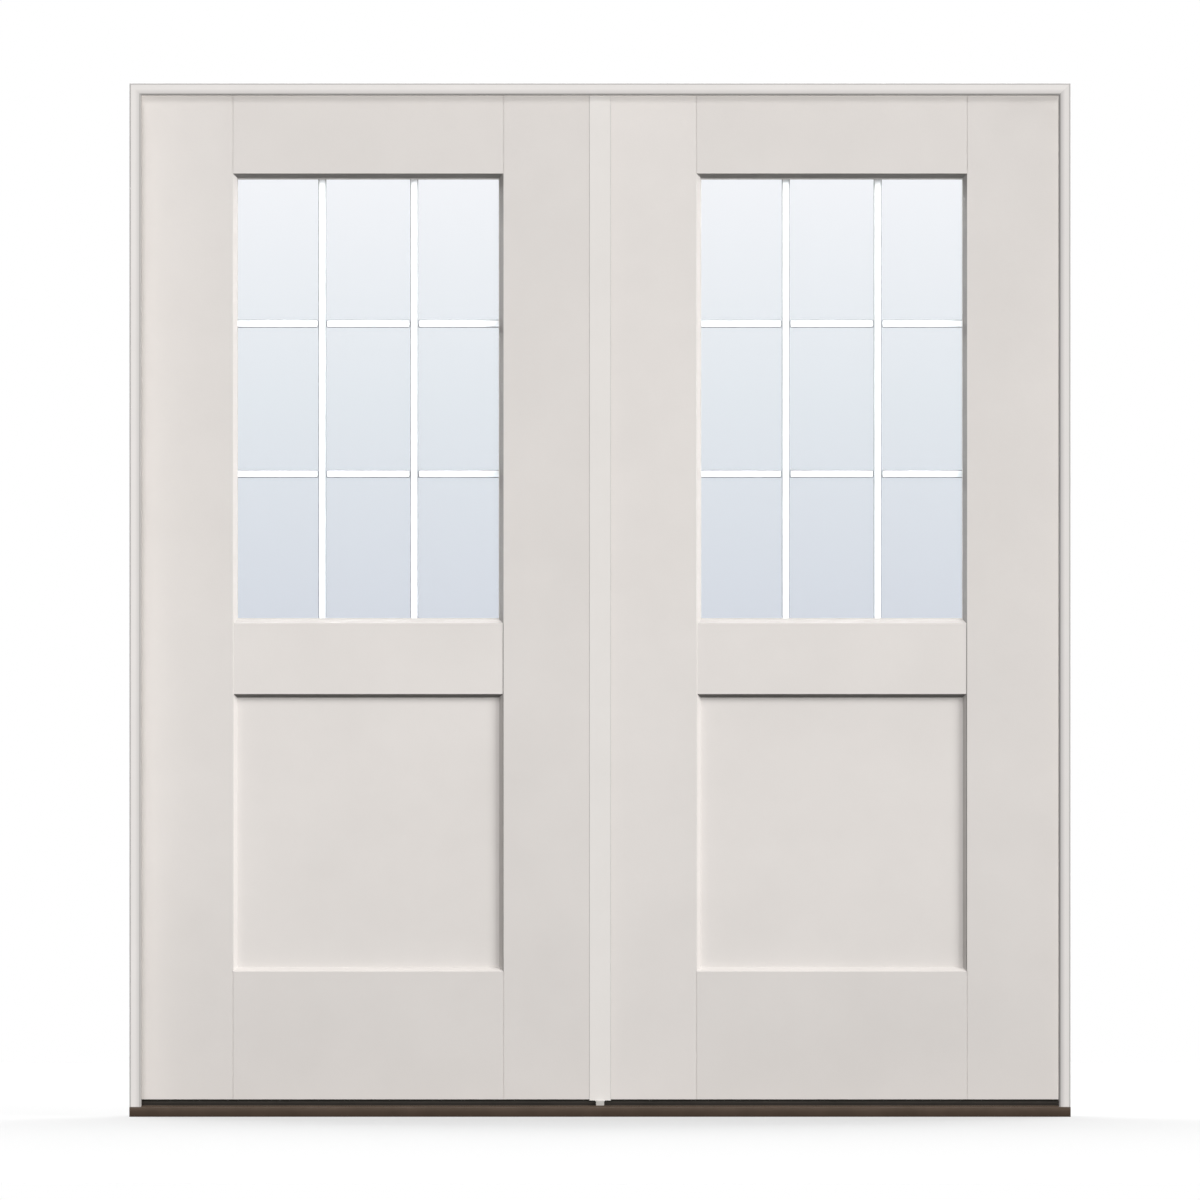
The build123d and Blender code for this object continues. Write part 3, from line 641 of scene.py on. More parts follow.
@dataclass
class Piece:
    """One piece in the making: its mesh in millimetres, its finish, and what it stands for."""

    name: str
    body: Body
    finish: Finish
    slot: str
    stands_for: tuple[str, ...] = ()
    mesh: Mesh = field(default_factory=bmesh.new)

    def slab(self, x: Pair, y: Pair, z: Pair) -> list[Vert]:
        """Adds a block between three ranges.

        Args:
            x: left and right.
            y: front and back.
            z: low and high.

        Returns:
            The block's vertices.
        """
        middle = Vector((sum(x), sum(y), sum(z))) / 2
        size = (x[1] - x[0], y[1] - y[0], z[1] - z[0])
        matrix = Matrix.Translation(middle) @ Matrix.Diagonal((*size, 1.0))
        return bmesh.ops.create_cube(self.mesh, size=1.0, matrix=matrix)["verts"]

    def rod(self, centre: Triple, radii: Pair, length: float, sides: int = 24) -> list[Vert]:
        """Adds an upright round rod or cone about its middle.

        Args:
            centre: its middle point.
            radii: radius at the foot and at the top.
            length: its height.
            sides: how many faces go round it.

        Returns:
            The rod's vertices.
        """
        made = bmesh.ops.create_cone(
            self.mesh, cap_ends=True, segments=sides, radius1=radii[0], radius2=radii[1], depth=length,
            matrix=Matrix.Translation(centre),
        )
        return made["verts"]

    def drawn(self, outline: Iterable[Pair], low: float, high: float, axis: Axis) -> list[Vert]:
        """Draws an outline out along X or Z.

        Args:
            outline: corners as (y, z) for a bar along X, and as (x, y) for one along Z.
            low: where the bar begins.
            high: where it ends.
            axis: the way it runs.

        Returns:
            All its vertices.
        """
        def at(corner: Pair) -> Triple:
            """The corner in space, at the bar's beginning."""
            return (low, *corner) if axis is Axis.X else (*corner, low)

        start = [self.mesh.verts.new(at(corner)) for corner in outline]
        step = [0.0, 0.0, 0.0]
        step[axis.value] = high - low
        return start + pulled(self.mesh, [self.mesh.faces.new(start)], step)

    def rounded(self, radius: float, segments: int = 2) -> None:
        """Rounds the sharp edges.

        Args:
            radius: how far the rounding reaches.
            segments: how many faces it has.
        """
        edges = [
            edge for edge in self.mesh.edges
            if len(edge.link_faces) == 2 and edge.calc_face_angle(0.0) > SMOOTH_BELOW
        ]
        bmesh.ops.bevel(
            self.mesh, geom=edges, offset=radius, offset_type="OFFSET", affect="EDGES", segments=segments,
            profile=0.5, material=-1, clamp_overlap=True,
        )

    def flipped(self, axis: Axis, about: float = 0.0) -> None:
        """Turns the piece over to the other side of a plane."""
        factors = [1.0, 1.0, 1.0]
        factors[axis.value] = -1.0
        shift = [0.0, 0.0, 0.0]
        shift[axis.value] = 2 * about
        bmesh.ops.scale(self.mesh, vec=factors, verts=self.mesh.verts)
        bmesh.ops.translate(self.mesh, vec=shift, verts=self.mesh.verts)

    def place(self) -> Thing:
        """Finishes the piece and binds it to its body.

        Returns:
            The object, at the origin, with its place in its mesh.
        """
        bmesh.ops.recalc_face_normals(self.mesh, faces=self.mesh.faces)
        for face in self.mesh.faces:
            face.smooth = True
        for edge in self.mesh.edges:
            edge.smooth = len(edge.link_faces) == 2 and edge.calc_face_angle(0.0) < SMOOTH_BELOW
        bmesh.ops.scale(self.mesh, vec=(MM, MM, MM), verts=self.mesh.verts)
        data = bpy.data.meshes.new(self.name)
        self.mesh.to_mesh(data)
        self.mesh.free()
        data.materials.append(self.finish.material())
        made = bpy.data.objects.new(self.name, data)
        bpy.context.scene.collection.objects.link(made)
        soft = made.modifiers.new("even_shading", "WEIGHTED_NORMAL")
        soft.keep_sharp = True
        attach(made, self.body.value)
        if self.stands_for:
            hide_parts(*self.stands_for)
        log.info("%s: %d faces, rides on %s", self.name, len(data.polygons), self.body.value)
        return made


def dress_node(name: str, finish: Finish) -> None:
    """Gives a carried-over solid its finish.

    Args:
        name: the solid's node name.
        finish: what it is made of.
    """
    for place in frame["nodes"][name].material_slots:
        place.material = finish.material()
    log.info("%s: solid kept, finished as %s", name, finish.name)


# Sub-assemblies


@dataclass
class LeafSizes:
    """Sizes of one leaf about its own middle, in millimetres, and its paint's tones.

    The tones are for the left stile, the right stile, the top rail, the lock rail with the panel, and the
    bottom rail; the right stile is set darker than the left as painted shade. The slopes' tones are painted
    shade for the left, right, low and high side of an opening, set by the way each slope faces.
    """

    half_width: float = 454.025
    middle_x: float = 463.55
    front: float = 20.45
    back: float = 64.9
    low: float = 33.325
    top: float = 2041.525
    skin: float = 2.0
    half_opening: float = 270.65
    panel: Pair = (288.8, 845.3)
    glass: Pair = (984.0, 1884.9)
    bevel: float = 8.5
    panel_depth: float = 12.7
    glass_depth: float = 8.7
    rim_depth: float = 11.2
    rail_setback: float = 1.5
    step: float = 1.466
    groove_half: float = 0.9
    groove_depth: float = 0.9
    edge_round: float = 0.7
    # the right stile's tone is set below the left stile's as painted shade
    tones: tuple[float, ...] = (0.975, 0.965, 0.97, 1.01, 0.965)
    sloped_above: float = 0.3
    # painted shade: each slope of the glass and panel mouldings is darkened by the way it faces
    glass_slopes: tuple[float, ...] = (0.86, 0.44, 0.76, 0.45)
    panel_slopes: tuple[float, ...] = (0.99, 0.86, 0.91, 0.28)
    hinge_heights: Triple = (363.5, 1088.2, 1812.9)
    hinge_half: float = 50.8
    hinge_plate: float = 2.5
    bar_half: float = 8.0
    bar_half_depth: float = 2.5
    bar_round: float = 1.9
    bar_reach: Pair = (269.4, 447.2)
    upright_x: float = 91.9
    crossbar_z: float = 150.3
    bar_joint: float = 0.2
    fin_places: tuple[float, ...] = (23.0, 32.0, 41.0, 50.0, 60.0)
    fin_half: float = 0.8
    fin_root: float = 0.2
    fin_taper: float = 0.9
    fin_tip: float = 29.4
    carrier: float = 1.5


LEAF_SOLIDS = (
    ("hinge_stile", WOOD), ("lock_stile", WOOD), ("top_rail", RAIL), ("bottom_rail", RAIL),
    ("foam_core", FOAM), ("outer_pane", GLASS), ("inner_pane", GLASS), ("spacer", SPACER),
    ("glazing_tape", TAPE),
)


class Leaf:
    """One leaf: moulded skins, grille, sweep, and finishes for what is inside."""

    def __init__(self, side: str, body: Body, sizes: LeafSizes) -> None:
        """Takes the side, left or right, and the body that it rides on."""
        self.side = side
        self.body = body
        self.sizes = sizes
        self.hinge_sign = -1.0 if side == "left" else 1.0
        self.middle_x = self.hinge_sign * sizes.middle_x

    def node(self, name: str) -> str:
        """The full node name of one of this leaf's solids."""
        return f"{self.side}_{name}"

    def build(self) -> None:
        """Builds every piece of the leaf and dresses its solids."""
        for face in Face:
            self.skin(face)
        self.grille()
        self.sweep()
        for name, finish in LEAF_SOLIDS:
            dress_node(self.node(name), finish)

    def cells(self, mesh: Mesh, x: Pair, z: Pair) -> list[Facet]:
        """The faces whose middle lies inside a rectangle.

        Args:
            mesh: the sheet.
            x: left and right.
            z: low and high.

        Returns:
            The faces found.
        """
        middles = [(face, face.calc_center_median()) for face in mesh.faces]
        return [face for face, m in middles if x[0] < m.x < x[1] and z[0] < m.z < z[1]]

    def sheet(self, mesh: Mesh, notched: bool) -> None:
        """Lays the flat sheet, and sets back the column that holds glass, lock rail and panel.

        Args:
            mesh: an empty mesh.
            notched: whether the hinge edge is cut out round the hinge plates.
        """
        s = self.sizes
        half = s.half_width
        corners = ((-half, s.low), (half, s.low), (half, s.top), (-half, s.top))
        mesh.faces.new([mesh.verts.new((x, s.front, z)) for x, z in corners])
        for z in (s.panel[0], s.glass[1]):
            cut(mesh, (0, 0, z), (0, 0, 1))
        for x in (-s.half_opening, s.half_opening):
            cut(mesh, (x, 0, 0), (1, 0, 0))
        if notched:
            self.notch(mesh)
        column = self.cells(mesh, (-s.half_opening, s.half_opening), (s.panel[0], s.glass[1]))
        self.sunk(mesh, column, s.step, s.rail_setback)
        inner = (-s.half_opening + s.step, s.half_opening - s.step)
        for z in (s.panel[1] - s.step, s.glass[0] + s.step):
            cut(mesh, (0, 0, z), (0, 0, 1), self.cells(mesh, inner, (s.panel[0], s.glass[1])))

    def notch(self, mesh: Mesh) -> None:
        """Cuts the hinge plates' places out of the hinge edge, which is on the left here."""
        s = self.sizes
        line = -s.half_width + s.hinge_plate
        cut(mesh, (line, 0, 0), (1, 0, 0))
        for height in s.hinge_heights:
            strip = (-s.half_width, line)
            for z in (height - s.hinge_half, height + s.hinge_half):
                cut(mesh, (0, 0, z), (0, 0, 1), self.cells(mesh, strip, (s.low, s.top)))
            gone = self.cells(mesh, strip, (height - s.hinge_half, height + s.hinge_half))
            bmesh.ops.delete(mesh, geom=gone, context="FACES")

    def sunk(
        self, mesh: Mesh, faces: list[Facet], slope: float, depth: float
    ) -> Facet:
        """Sinks a face with a sloped edge round it.

        Args:
            mesh: the sheet.
            faces: the one face to sink.
            slope: how far its edge leans in.
            depth: how deep its floor lies.

        Returns:
            The floor.
        """
        bmesh.ops.inset_individual(mesh, faces=faces, thickness=slope, depth=-depth, use_even_offset=True)
        return faces[0]

    def opening(self, mesh: Mesh, z: Pair, depth: float) -> Facet:
        """Sinks the glass opening or the panel from the lock rail's level.

        Args:
            mesh: the sheet.
            z: low and high of the opening at the leaf's face.
            depth: how deep its floor lies behind the leaf's face.

        Returns:
            The floor.
        """
        s = self.sizes
        reach = (-s.half_opening + s.step, s.half_opening - s.step)
        cell = self.cells(mesh, reach, (z[0] + s.step, z[1] - s.step))
        return self.sunk(mesh, cell, s.bevel - s.step, depth - s.rail_setback)

    def hang(self, piece: Piece) -> None:
        """Moves a piece from the leaf's own middle to its place in the frame, and finishes it."""
        bmesh.ops.translate(piece.mesh, verts=piece.mesh.verts, vec=(self.middle_x, 0, 0))
        piece.place()

    def skin(self, face: Face) -> None:
        """Builds the moulded skin on one face of the leaf."""
        s = self.sizes
        name = f"{self.side}_leaf_{face.value}_moulded"
        piece = Piece(name, self.body, DOOR_PAINT, "door_paint", (self.node(face.value),))
        mesh = piece.mesh
        self.sheet(mesh, notched=face is Face.ROOM)
        opening = self.opening(mesh, s.glass, s.glass_depth)
        self.opening(mesh, s.panel, s.panel_depth)
        bmesh.ops.delete(mesh, geom=[opening], context="FACES_ONLY")
        piece.rounded(s.edge_round, 3)
        self.grooves(mesh)
        self.toned(mesh)
        self.thicken(mesh)
        if face is Face.ROOM:
            piece.flipped(Axis.Y, (s.front + s.back) / 2)
        if self.hinge_sign > 0:
            piece.flipped(Axis.X)
        self.hang(piece)

    def toned(self, mesh: Mesh) -> None:
        """Notes each face's tone with painted shade: the tone of stiles, rails, lock rail and panel, times a
        painted shade on the slopes of the mouldings.

        Args:
            mesh: the sheet about the leaf's own middle.
        """
        layer = mesh.faces.layers.float.new(TONE_AND_SHADE)
        mesh.normal_update()
        for face in mesh.faces:
            m = face.calc_center_median()
            face[layer] = self.board_tone(m) * self.slope_tone(m, face.normal)

    def board_tone(self, place: Vector) -> float:
        """The tone of the board that a place lies on; the two stiles' tones are partly painted shade."""
        s = self.sizes
        if abs(place.x) > s.half_opening:
            return s.tones[0] if place.x * self.hinge_sign > 0 else s.tones[1]
        if place.z > s.glass[1]:
            return s.tones[2]
        return s.tones[4] if place.z < s.panel[0] else s.tones[3]

    def slope_tone(self, place: Vector, normal: Vector) -> float:
        """Painted shade on a moulding's slope, set by the way it faces: left, right, low and high side of the
        glass or the panel.
        """
        s = self.sizes
        slopes = s.glass_slopes if place.z > s.glass[0] - 1 else s.panel_slopes
        across, up = normal.x * self.hinge_sign, normal.z
        if max(abs(across), abs(up)) < s.sloped_above:
            return 1.0
        if abs(across) > abs(up):
            return slopes[1] if across > 0 else slopes[0]
        return slopes[2] if up > 0 else slopes[3]

    def grooves(self, mesh: Mesh) -> None:
        """Sinks the fine joint lines where the top and bottom rails meet the stiles."""
        s = self.sizes
        everywhere = (-s.half_width, s.half_width)
        for z in ((s.low, s.panel[0] - 1), (s.glass[1] + 1, s.top)):
            for sign in (-1, 1):
                middle = sign * s.half_opening
                for side in (-s.groove_half, s.groove_half):
                    cut(mesh, (middle + side, 0, 0), (1, 0, 0), self.cells(mesh, everywhere, z))
                faces = self.cells(mesh, (middle - s.groove_half, middle + s.groove_half), z)
                pulled(mesh, faces, (0, s.groove_depth, 0))
                bmesh.ops.delete(mesh, geom=[f for f in faces if f.is_valid], context="FACES_ONLY")

    def thicken(self, mesh: Mesh) -> None:
        """Gives the sheet its thickness towards the core, and takes the glass rim back to the glass."""
        s = self.sizes
        backs = pulled(mesh, list(mesh.faces), (0, s.skin, 0), keep=True)
        inner_x, inner_z = s.half_opening - s.bevel, (s.glass[0] + s.bevel, s.glass[1] - s.bevel)
        for corner in backs:
            x, z = abs(corner.co.x), corner.co.z
            on_side = abs(x - inner_x) < 0.01 and inner_z[0] - 0.01 < z < inner_z[1] + 0.01
            on_end = min(abs(z - inner_z[0]), abs(z - inner_z[1])) < 0.01 and x < inner_x + 0.01
            if on_side or on_end:
                corner.co.y = s.front + s.rim_depth

    def grille(self) -> None:
        """Builds the flat bars between the panes: whole uprights, and crossbars cut between them."""
        name = f"{self.side}_leaf_contour_bars"
        piece = Piece(name, self.body, GRILLE, "grille_white", (self.node("grille"),))
        s = self.sizes
        middle_y, middle_z = (s.front + s.back) / 2, sum(s.glass) / 2
        y = (middle_y - s.bar_half_depth, middle_y + s.bar_half_depth)
        reach_x, reach_z = s.bar_reach
        for x in (-s.upright_x, s.upright_x):
            piece.slab((x - s.bar_half, x + s.bar_half), y, (middle_z - reach_z, middle_z + reach_z))
        inner = s.upright_x - s.bar_half - s.bar_joint
        outer = s.upright_x + s.bar_half + s.bar_joint
        for z in (middle_z - s.crossbar_z, middle_z + s.crossbar_z):
            for x in ((-reach_x, -outer), (-inner, inner), (outer, reach_x)):
                piece.slab(x, y, (z - s.bar_half, z + s.bar_half))
        piece.rounded(s.bar_round, 1)
        self.hang(piece)

    def sweep(self) -> None:
        """Builds the vinyl sweep: a carrier with a row of soft fins."""
        s = self.sizes
        piece = Piece(f"{self.side}_leaf_finned_sweep", self.body, SWEEP, "sweep", (self.node("sweep"),))
        x, foot, half, tip = (-s.half_width, s.half_width), s.low - s.carrier, s.fin_half, s.fin_tip
        piece.slab(x, (s.front + 1, s.back - 1), (foot, s.low))
        for y in s.fin_places:
            outline = (
                (y - half, foot + s.fin_root), (y + half, foot + s.fin_root),
                (y + half * 0.75, tip + s.fin_taper), (y + half * 0.3, tip), (y - half * 0.3, tip),
                (y - half, tip + s.fin_taper),
            )
            piece.drawn(outline, *x, Axis.X)
        piece.rounded(0.25, 1)
        self.hang(piece)


@dataclass
class ScrewSizes:
    """A countersunk screw with a cross recess, in millimetres."""

    head_radius: float = 4.2
    head_height: float = 2.2
    shank_radius: float = 2.05
    arm: float = 2.3
    arm_half: float = 0.55
    recess: float = 1.5
    point: float = 4.0
    thread_pitch: float = 1.8
    thread_depth: float = 0.35


class Fasteners:
    """Every visible screw, drawn once for each length and copied to its places."""

    def __init__(self, sizes: ScrewSizes) -> None:
        """Takes the sizes that all screws share."""
        self.sizes = sizes

    def screw(self, length: float) -> bpy.types.Mesh:
        """Draws one screw, head up, its top at the origin.

        Args:
            length: from the head's top to the tip.

        Returns:
            The mesh, in millimetres.
        """
        s = self.sizes
        piece = Piece("screw_pattern", Body.FRAME, ZINC, "steel")
        mesh = piece.mesh
        piece.rod((0, 0, -s.head_height / 2), (s.shank_radius, s.head_radius), s.head_height, 32)
        body, core = length - s.point, s.shank_radius - s.thread_depth
        piece.rod((0, 0, -s.head_height / 2 - body / 2), (core, core), body - s.head_height, 16)
        piece.rod((0, 0, -length + s.point / 2), (0.2, core), s.point, 16)
        turns = int((body - s.head_height) / s.thread_pitch)
        for turn in range(turns):
            height = -s.head_height - (turn + 0.6) * s.thread_pitch
            piece.rod((0, 0, height), (core, s.shank_radius), s.thread_pitch / 3, 12)
            piece.rod((0, 0, height + s.thread_pitch / 3), (s.shank_radius, core), s.thread_pitch / 3, 12)
        self.cross(mesh)
        data = bpy.data.meshes.new("screw_pattern")
        mesh.to_mesh(data)
        mesh.free()
        return data

    def cross(self, mesh: Mesh) -> None:
        """Sinks the cross recess into the head."""
        s = self.sizes
        for distance in (s.arm, s.arm_half):
            for sign in (-1, 1):
                for normal in ((1, 0, 0), (0, 1, 0)):
                    top = [f for f in mesh.faces if f.normal.z > 0.99 and f.calc_center_median().z > -0.01]
                    cut(mesh, tuple(sign * distance * n for n in normal), normal, top)
        mesh.normal_update()
        arms = []
        for face in mesh.faces:
            m = face.calc_center_median()
            flat = face.normal.z > 0.99 and m.z > -0.01
            reach, width = max(abs(m.x), abs(m.y)), min(abs(m.x), abs(m.y))
            if flat and reach < s.arm and width < s.arm_half:
                arms.append(face)
        floor = pulled(mesh, arms, (0, 0, -s.recess))
        bmesh.ops.scale(mesh, verts=floor, vec=(0.6, 0.6, 1.0))
        bmesh.ops.delete(mesh, geom=[f for f in arms if f.is_valid], context="FACES_ONLY")

    def spread(self, piece: Piece, length: float, places: Iterable[Matrix]) -> None:
        """Copies a screw to its places and finishes the piece.

        Args:
            piece: the piece that takes the copies.
            length: the screw's length.
            places: one matrix for each copy.
        """
        pattern = self.screw(length)
        for number, matrix in enumerate(places):
            before = len(piece.mesh.verts)
            piece.mesh.from_mesh(pattern)
            piece.mesh.verts.ensure_lookup_table()
            twist = Matrix.Rotation(math.radians(37 * number), 4, "Z")
            bmesh.ops.transform(piece.mesh, matrix=matrix @ twist, verts=piece.mesh.verts[before:])
        bpy.data.meshes.remove(pattern)
        piece.place()


class Hinges:
    """The butt hinges: steel flaps and pins kept as solids, screws with their recess."""

    heights: Triple = (363.5, 1088.2, 1812.9)
    screw_places: tuple[Pair, ...] = ((54.0, 38.0), (40.0, 14.0), (40.0, -14.0), (54.0, -38.0))
    jamb_face: float = 920.75
    leaf_face: float = 917.575
    jamb_length: float = 15.0
    leaf_length: float = 28.0

    def __init__(self, fasteners: Fasteners) -> None:
        """Takes the maker of screws."""
        self.fasteners = fasteners

    def places(self, side: int, on_jamb: bool) -> list[Matrix]:
        """Where one side's screws sit.

        Args:
            side: -1 for the left leaf and 1 for the right one.
            on_jamb: whether they go into the jamb.

        Returns:
            One matrix for each screw.
        """
        face = self.jamb_face if on_jamb else self.leaf_face
        inward = -side if on_jamb else side
        turn = Matrix.Rotation(math.radians(90 * inward), 4, "Y")
        found = []
        for height in self.heights:
            for y, z in self.screw_places:
                found.append(Matrix.Translation((side * face, y, height + z)) @ turn)
        return found

    def build(self) -> None:
        """Builds the screws and dresses the flaps and the pins."""
        both = self.places(-1, True) + self.places(1, True)
        name = "hinge_jamb_screws"
        piece = Piece("jamb_hinge_cross_screws", Body.FRAME, ZINC, "steel", (name,))
        self.fasteners.spread(piece, self.jamb_length, both)
        for side, body, sign in (("left", Body.PASSIVE, -1), ("right", Body.ACTIVE, 1)):
            piece = Piece(f"{side}_leaf_cross_screws", body, ZINC, "steel", (f"hinge_leaf_screws_{side}",))
            self.fasteners.spread(piece, self.leaf_length, self.places(sign, False))
            for place in ("top", "middle", "bottom"):
                for flap in ("jamb_flap", "leaf_flap"):
                    dress_node(f"hinge_{side}_{place}_{flap}", HINGE_STEEL)
        dress_node("hinge_pins", HINGE_STEEL)


class Sill:
    """The sill: bronze deck with ribs, cap, pads and screws."""

    half_width: float = 939.8
    nose_y: float = -77.9
    nose_height: float = 18.3
    deck_height: float = 21.2
    cap_front: float = 14.0
    wall: float = 2.0
    rib_from: float = -66.0
    rib_step: float = 5.5
    rib_count: int = 13
    cap_top: float = 29.0
    cap_screw_y: float = 50.0
    cap_screw_x: tuple[float, ...] = (-725, -435, -145, 145, 435, 725)
    cap_screw_length: float = 21.0
    pad: tuple[Pair, Pair, Pair] = ((-8.3, 8.3), (2.0, 12.2), (20.75, 30.7))
    corner_pad: tuple[Pair, Pair, Pair] = ((918.15, 920.75), (24.9, 64.9), (29.0, 79.0))

    def __init__(self, fasteners: Fasteners) -> None:
        """Takes the maker of screws."""
        self.fasteners = fasteners

    def slope(self, y: float) -> float:
        """The deck's height at a depth."""
        share = (y - self.nose_y) / (self.cap_front - self.nose_y)
        return self.nose_height + share * (self.deck_height - self.nose_height)

    def outline(self) -> list[Pair]:
        """The deck's outer line, from the floor up over the bowed nose and back, with its fine ribs."""
        nose, top = self.nose_y, self.nose_height
        line = [
            (nose + 1.6, 0.0), (nose + 0.9, 2.2), (nose + 0.3, 6.0), (nose, 10.5), (nose + 0.35, 13.6),
            (nose + 1.3, 16.0), (nose + 3.0, 17.6), (nose + 5.4, top + 0.15),
        ]
        for number in range(self.rib_count):
            y = self.rib_from + number * self.rib_step
            line += [
                (y - 0.9, self.slope(y - 0.9)), (y - 0.5, self.slope(y) + 0.4),
                (y + 0.5, self.slope(y) + 0.4), (y + 0.9, self.slope(y + 0.9)),
            ]
        return line + [(self.cap_front, self.deck_height)]

    def build(self) -> None:
        """Builds the sill's pieces and dresses its solids."""
        self.deck()
        self.middle_pad()
        self.corner_pads()
        places = [Matrix.Translation((x, self.cap_screw_y, self.cap_top)) for x in self.cap_screw_x]
        piece = Piece("cap_cross_screws", Body.FRAME, ZINC, "steel", ("sill_cap_screws",))
        self.fasteners.spread(piece, self.cap_screw_length, places)
        dress_node("sill_cap", CAP)
        dress_node("sill_core", SILL_CORE)

    def deck(self) -> None:
        """Builds the folded deck: its outer line, and the same line again one wall further in."""
        piece = Piece("sill_ribbed_deck", Body.FRAME, BRONZE, "sill_bronze", ("sill_deck",))
        outer = self.outline()
        inner = [
            (self.cap_front, self.deck_height - self.wall), (self.nose_y + 6.0, self.nose_height - self.wall),
            (self.nose_y + 3.6, 15.4), (self.nose_y + 2.2, 12.8), (self.nose_y + 2.0, 10.0),
            (self.nose_y + 2.3, 6.0), (self.nose_y + 2.9, 2.2), (self.nose_y + 3.4, 0.0),
        ]
        piece.drawn([*outer, *inner], -self.half_width, self.half_width, Axis.X)
        piece.place()

    def middle_pad(self) -> None:
        """Builds the small pad under the astragal, with softened edges."""
        piece = Piece("astragal_foot_pad", Body.FRAME, GREY_PAD, "grey_pad", ("sill_center_pad",))
        piece.slab(*self.pad)
        piece.rounded(1.0, 3)
        piece.place()

    def corner_pads(self) -> None:
        """Builds the foam pads at both corners."""
        piece = Piece("jamb_corner_pads", Body.FRAME, SEAL, "seal", ("corner_pads",))
        near, depth, height = self.corner_pad
        for x in ((-near[1], -near[0]), near):
            piece.slab(x, depth, height)
        piece.rounded(0.8, 2)
        piece.place()


class Surround:
    """Jambs and head with their seals, strike and joint screws."""

    rabbet_x: float = 920.75
    rabbet_z: float = 2044.7
    seal_y: Pair = (12.5, 20.15)
    cap_top: float = 29.0
    reach: float = 4.0

    def seal_line(self) -> list[Pair]:
        """The seal's section as (across, depth): a bulb that leans on the leaf, and its barb."""
        low, high = self.seal_y
        return [
            (0.0, low), (2.4, low), (3.6, low + 0.6), (4.0, low + 1.9), (3.9, high - 2.2), (3.4, high - 0.9),
            (2.5, high - 0.2), (1.5, high), (0.7, high - 0.7), (0.3, high - 2.2), (0.0, high - 3.4),
            (0.0, low + 2.6), (-8.5, low + 2.0), (-8.5, low + 0.8), (0.0, low + 0.2),
        ]

    def build(self) -> None:
        """Builds the seals and dresses the solids."""
        for side, sign in (("left", -1), ("right", 1)):
            name = f"weatherstrip_{side}"
            piece = Piece(f"jamb_bulb_seal_{side}", Body.FRAME, SEAL, "seal", (name,))
            line = [(sign * (self.rabbet_x - across), depth) for across, depth in self.seal_line()]
            piece.drawn(line, self.cap_top, self.rabbet_z - self.reach, Axis.Z)
            piece.place()
        piece = Piece("head_bulb_seal", Body.FRAME, SEAL, "seal", ("weatherstrip_head",))
        line = [(depth, self.rabbet_z - across) for across, depth in self.seal_line()]
        piece.drawn(line, -self.rabbet_x + 1, self.rabbet_x - 1, Axis.X)
        piece.place()
        dress_node("jamb_left", FRAME_PAINT)
        dress_node("head_jamb", FRAME_PAINT)
        # the right jamb takes the darker copy of the frame paint as painted shade
        dress_node("jamb_right", SHADED_FRAME_PAINT)
        dress_node("head_strike", HINGE_STEEL)
        dress_node("frame_corner_screws", ZINC)


class MeetingStile:
    """The astragal on the passive leaf, its seal and its flush bolts."""

    def build(self) -> None:
        """Dresses the solids."""
        dress_node("astragal", ASTRAGAL_PAINT)
        dress_node("astragal_seal", DARK_SEAL)
        for bolt in (Body.TOP_BOLT, Body.BOTTOM_BOLT):
            for name in frame["record"]["behaviour"]["bodies"][bolt.value]:
                dress_node(name, HINGE_STEEL)


# The studio


@dataclass(frozen=True)
class Lamp:
    """A soft lamp far away: its name, the way towards it, its strength, and how wide it looks in degrees."""

    name: str
    towards: Triple
    strength: float
    spread: float
    distance: float = 4.0

    def build(self) -> Thing:
        """Sets the lamp up."""
        data = bpy.data.lights.new(self.name, "SUN")
        data.energy, data.angle = self.strength, math.radians(self.spread)
        data.cycles.use_multiple_importance_sampling = False
        lamp = bpy.data.objects.new(self.name, data)
        lamp.rotation_euler = Vector(self.towards).to_track_quat("Z", "Y").to_euler()
        lamp.location = Vector(self.towards) * self.distance
        bpy.context.scene.collection.objects.link(lamp)
        return lamp


RIGHT_LAMP = Lamp("right_lamp", (0.75, -0.5, 0.45), 2.6, 26.0)
TOP_LAMP = Lamp("top_lamp", (0.0, -0.6, 0.8), 1.25, 26.0)
FRONT_LAMP = Lamp("front_lamp", (-0.05, -0.985, 0.16), 0.74, 10.0)
LEFT_BACK_LAMP = Lamp("left_back_lamp", (-0.75, 0.5, 0.35), 2.2, 24.0)
RIGHT_BACK_LAMP = Lamp("right_back_lamp", (0.3, 0.9, 0.3), 1.5, 24.0)
FLOOR_LAMP = Lamp("floor_lamp", (0.0, 1.2, 1.0), 13.5, 60.0)


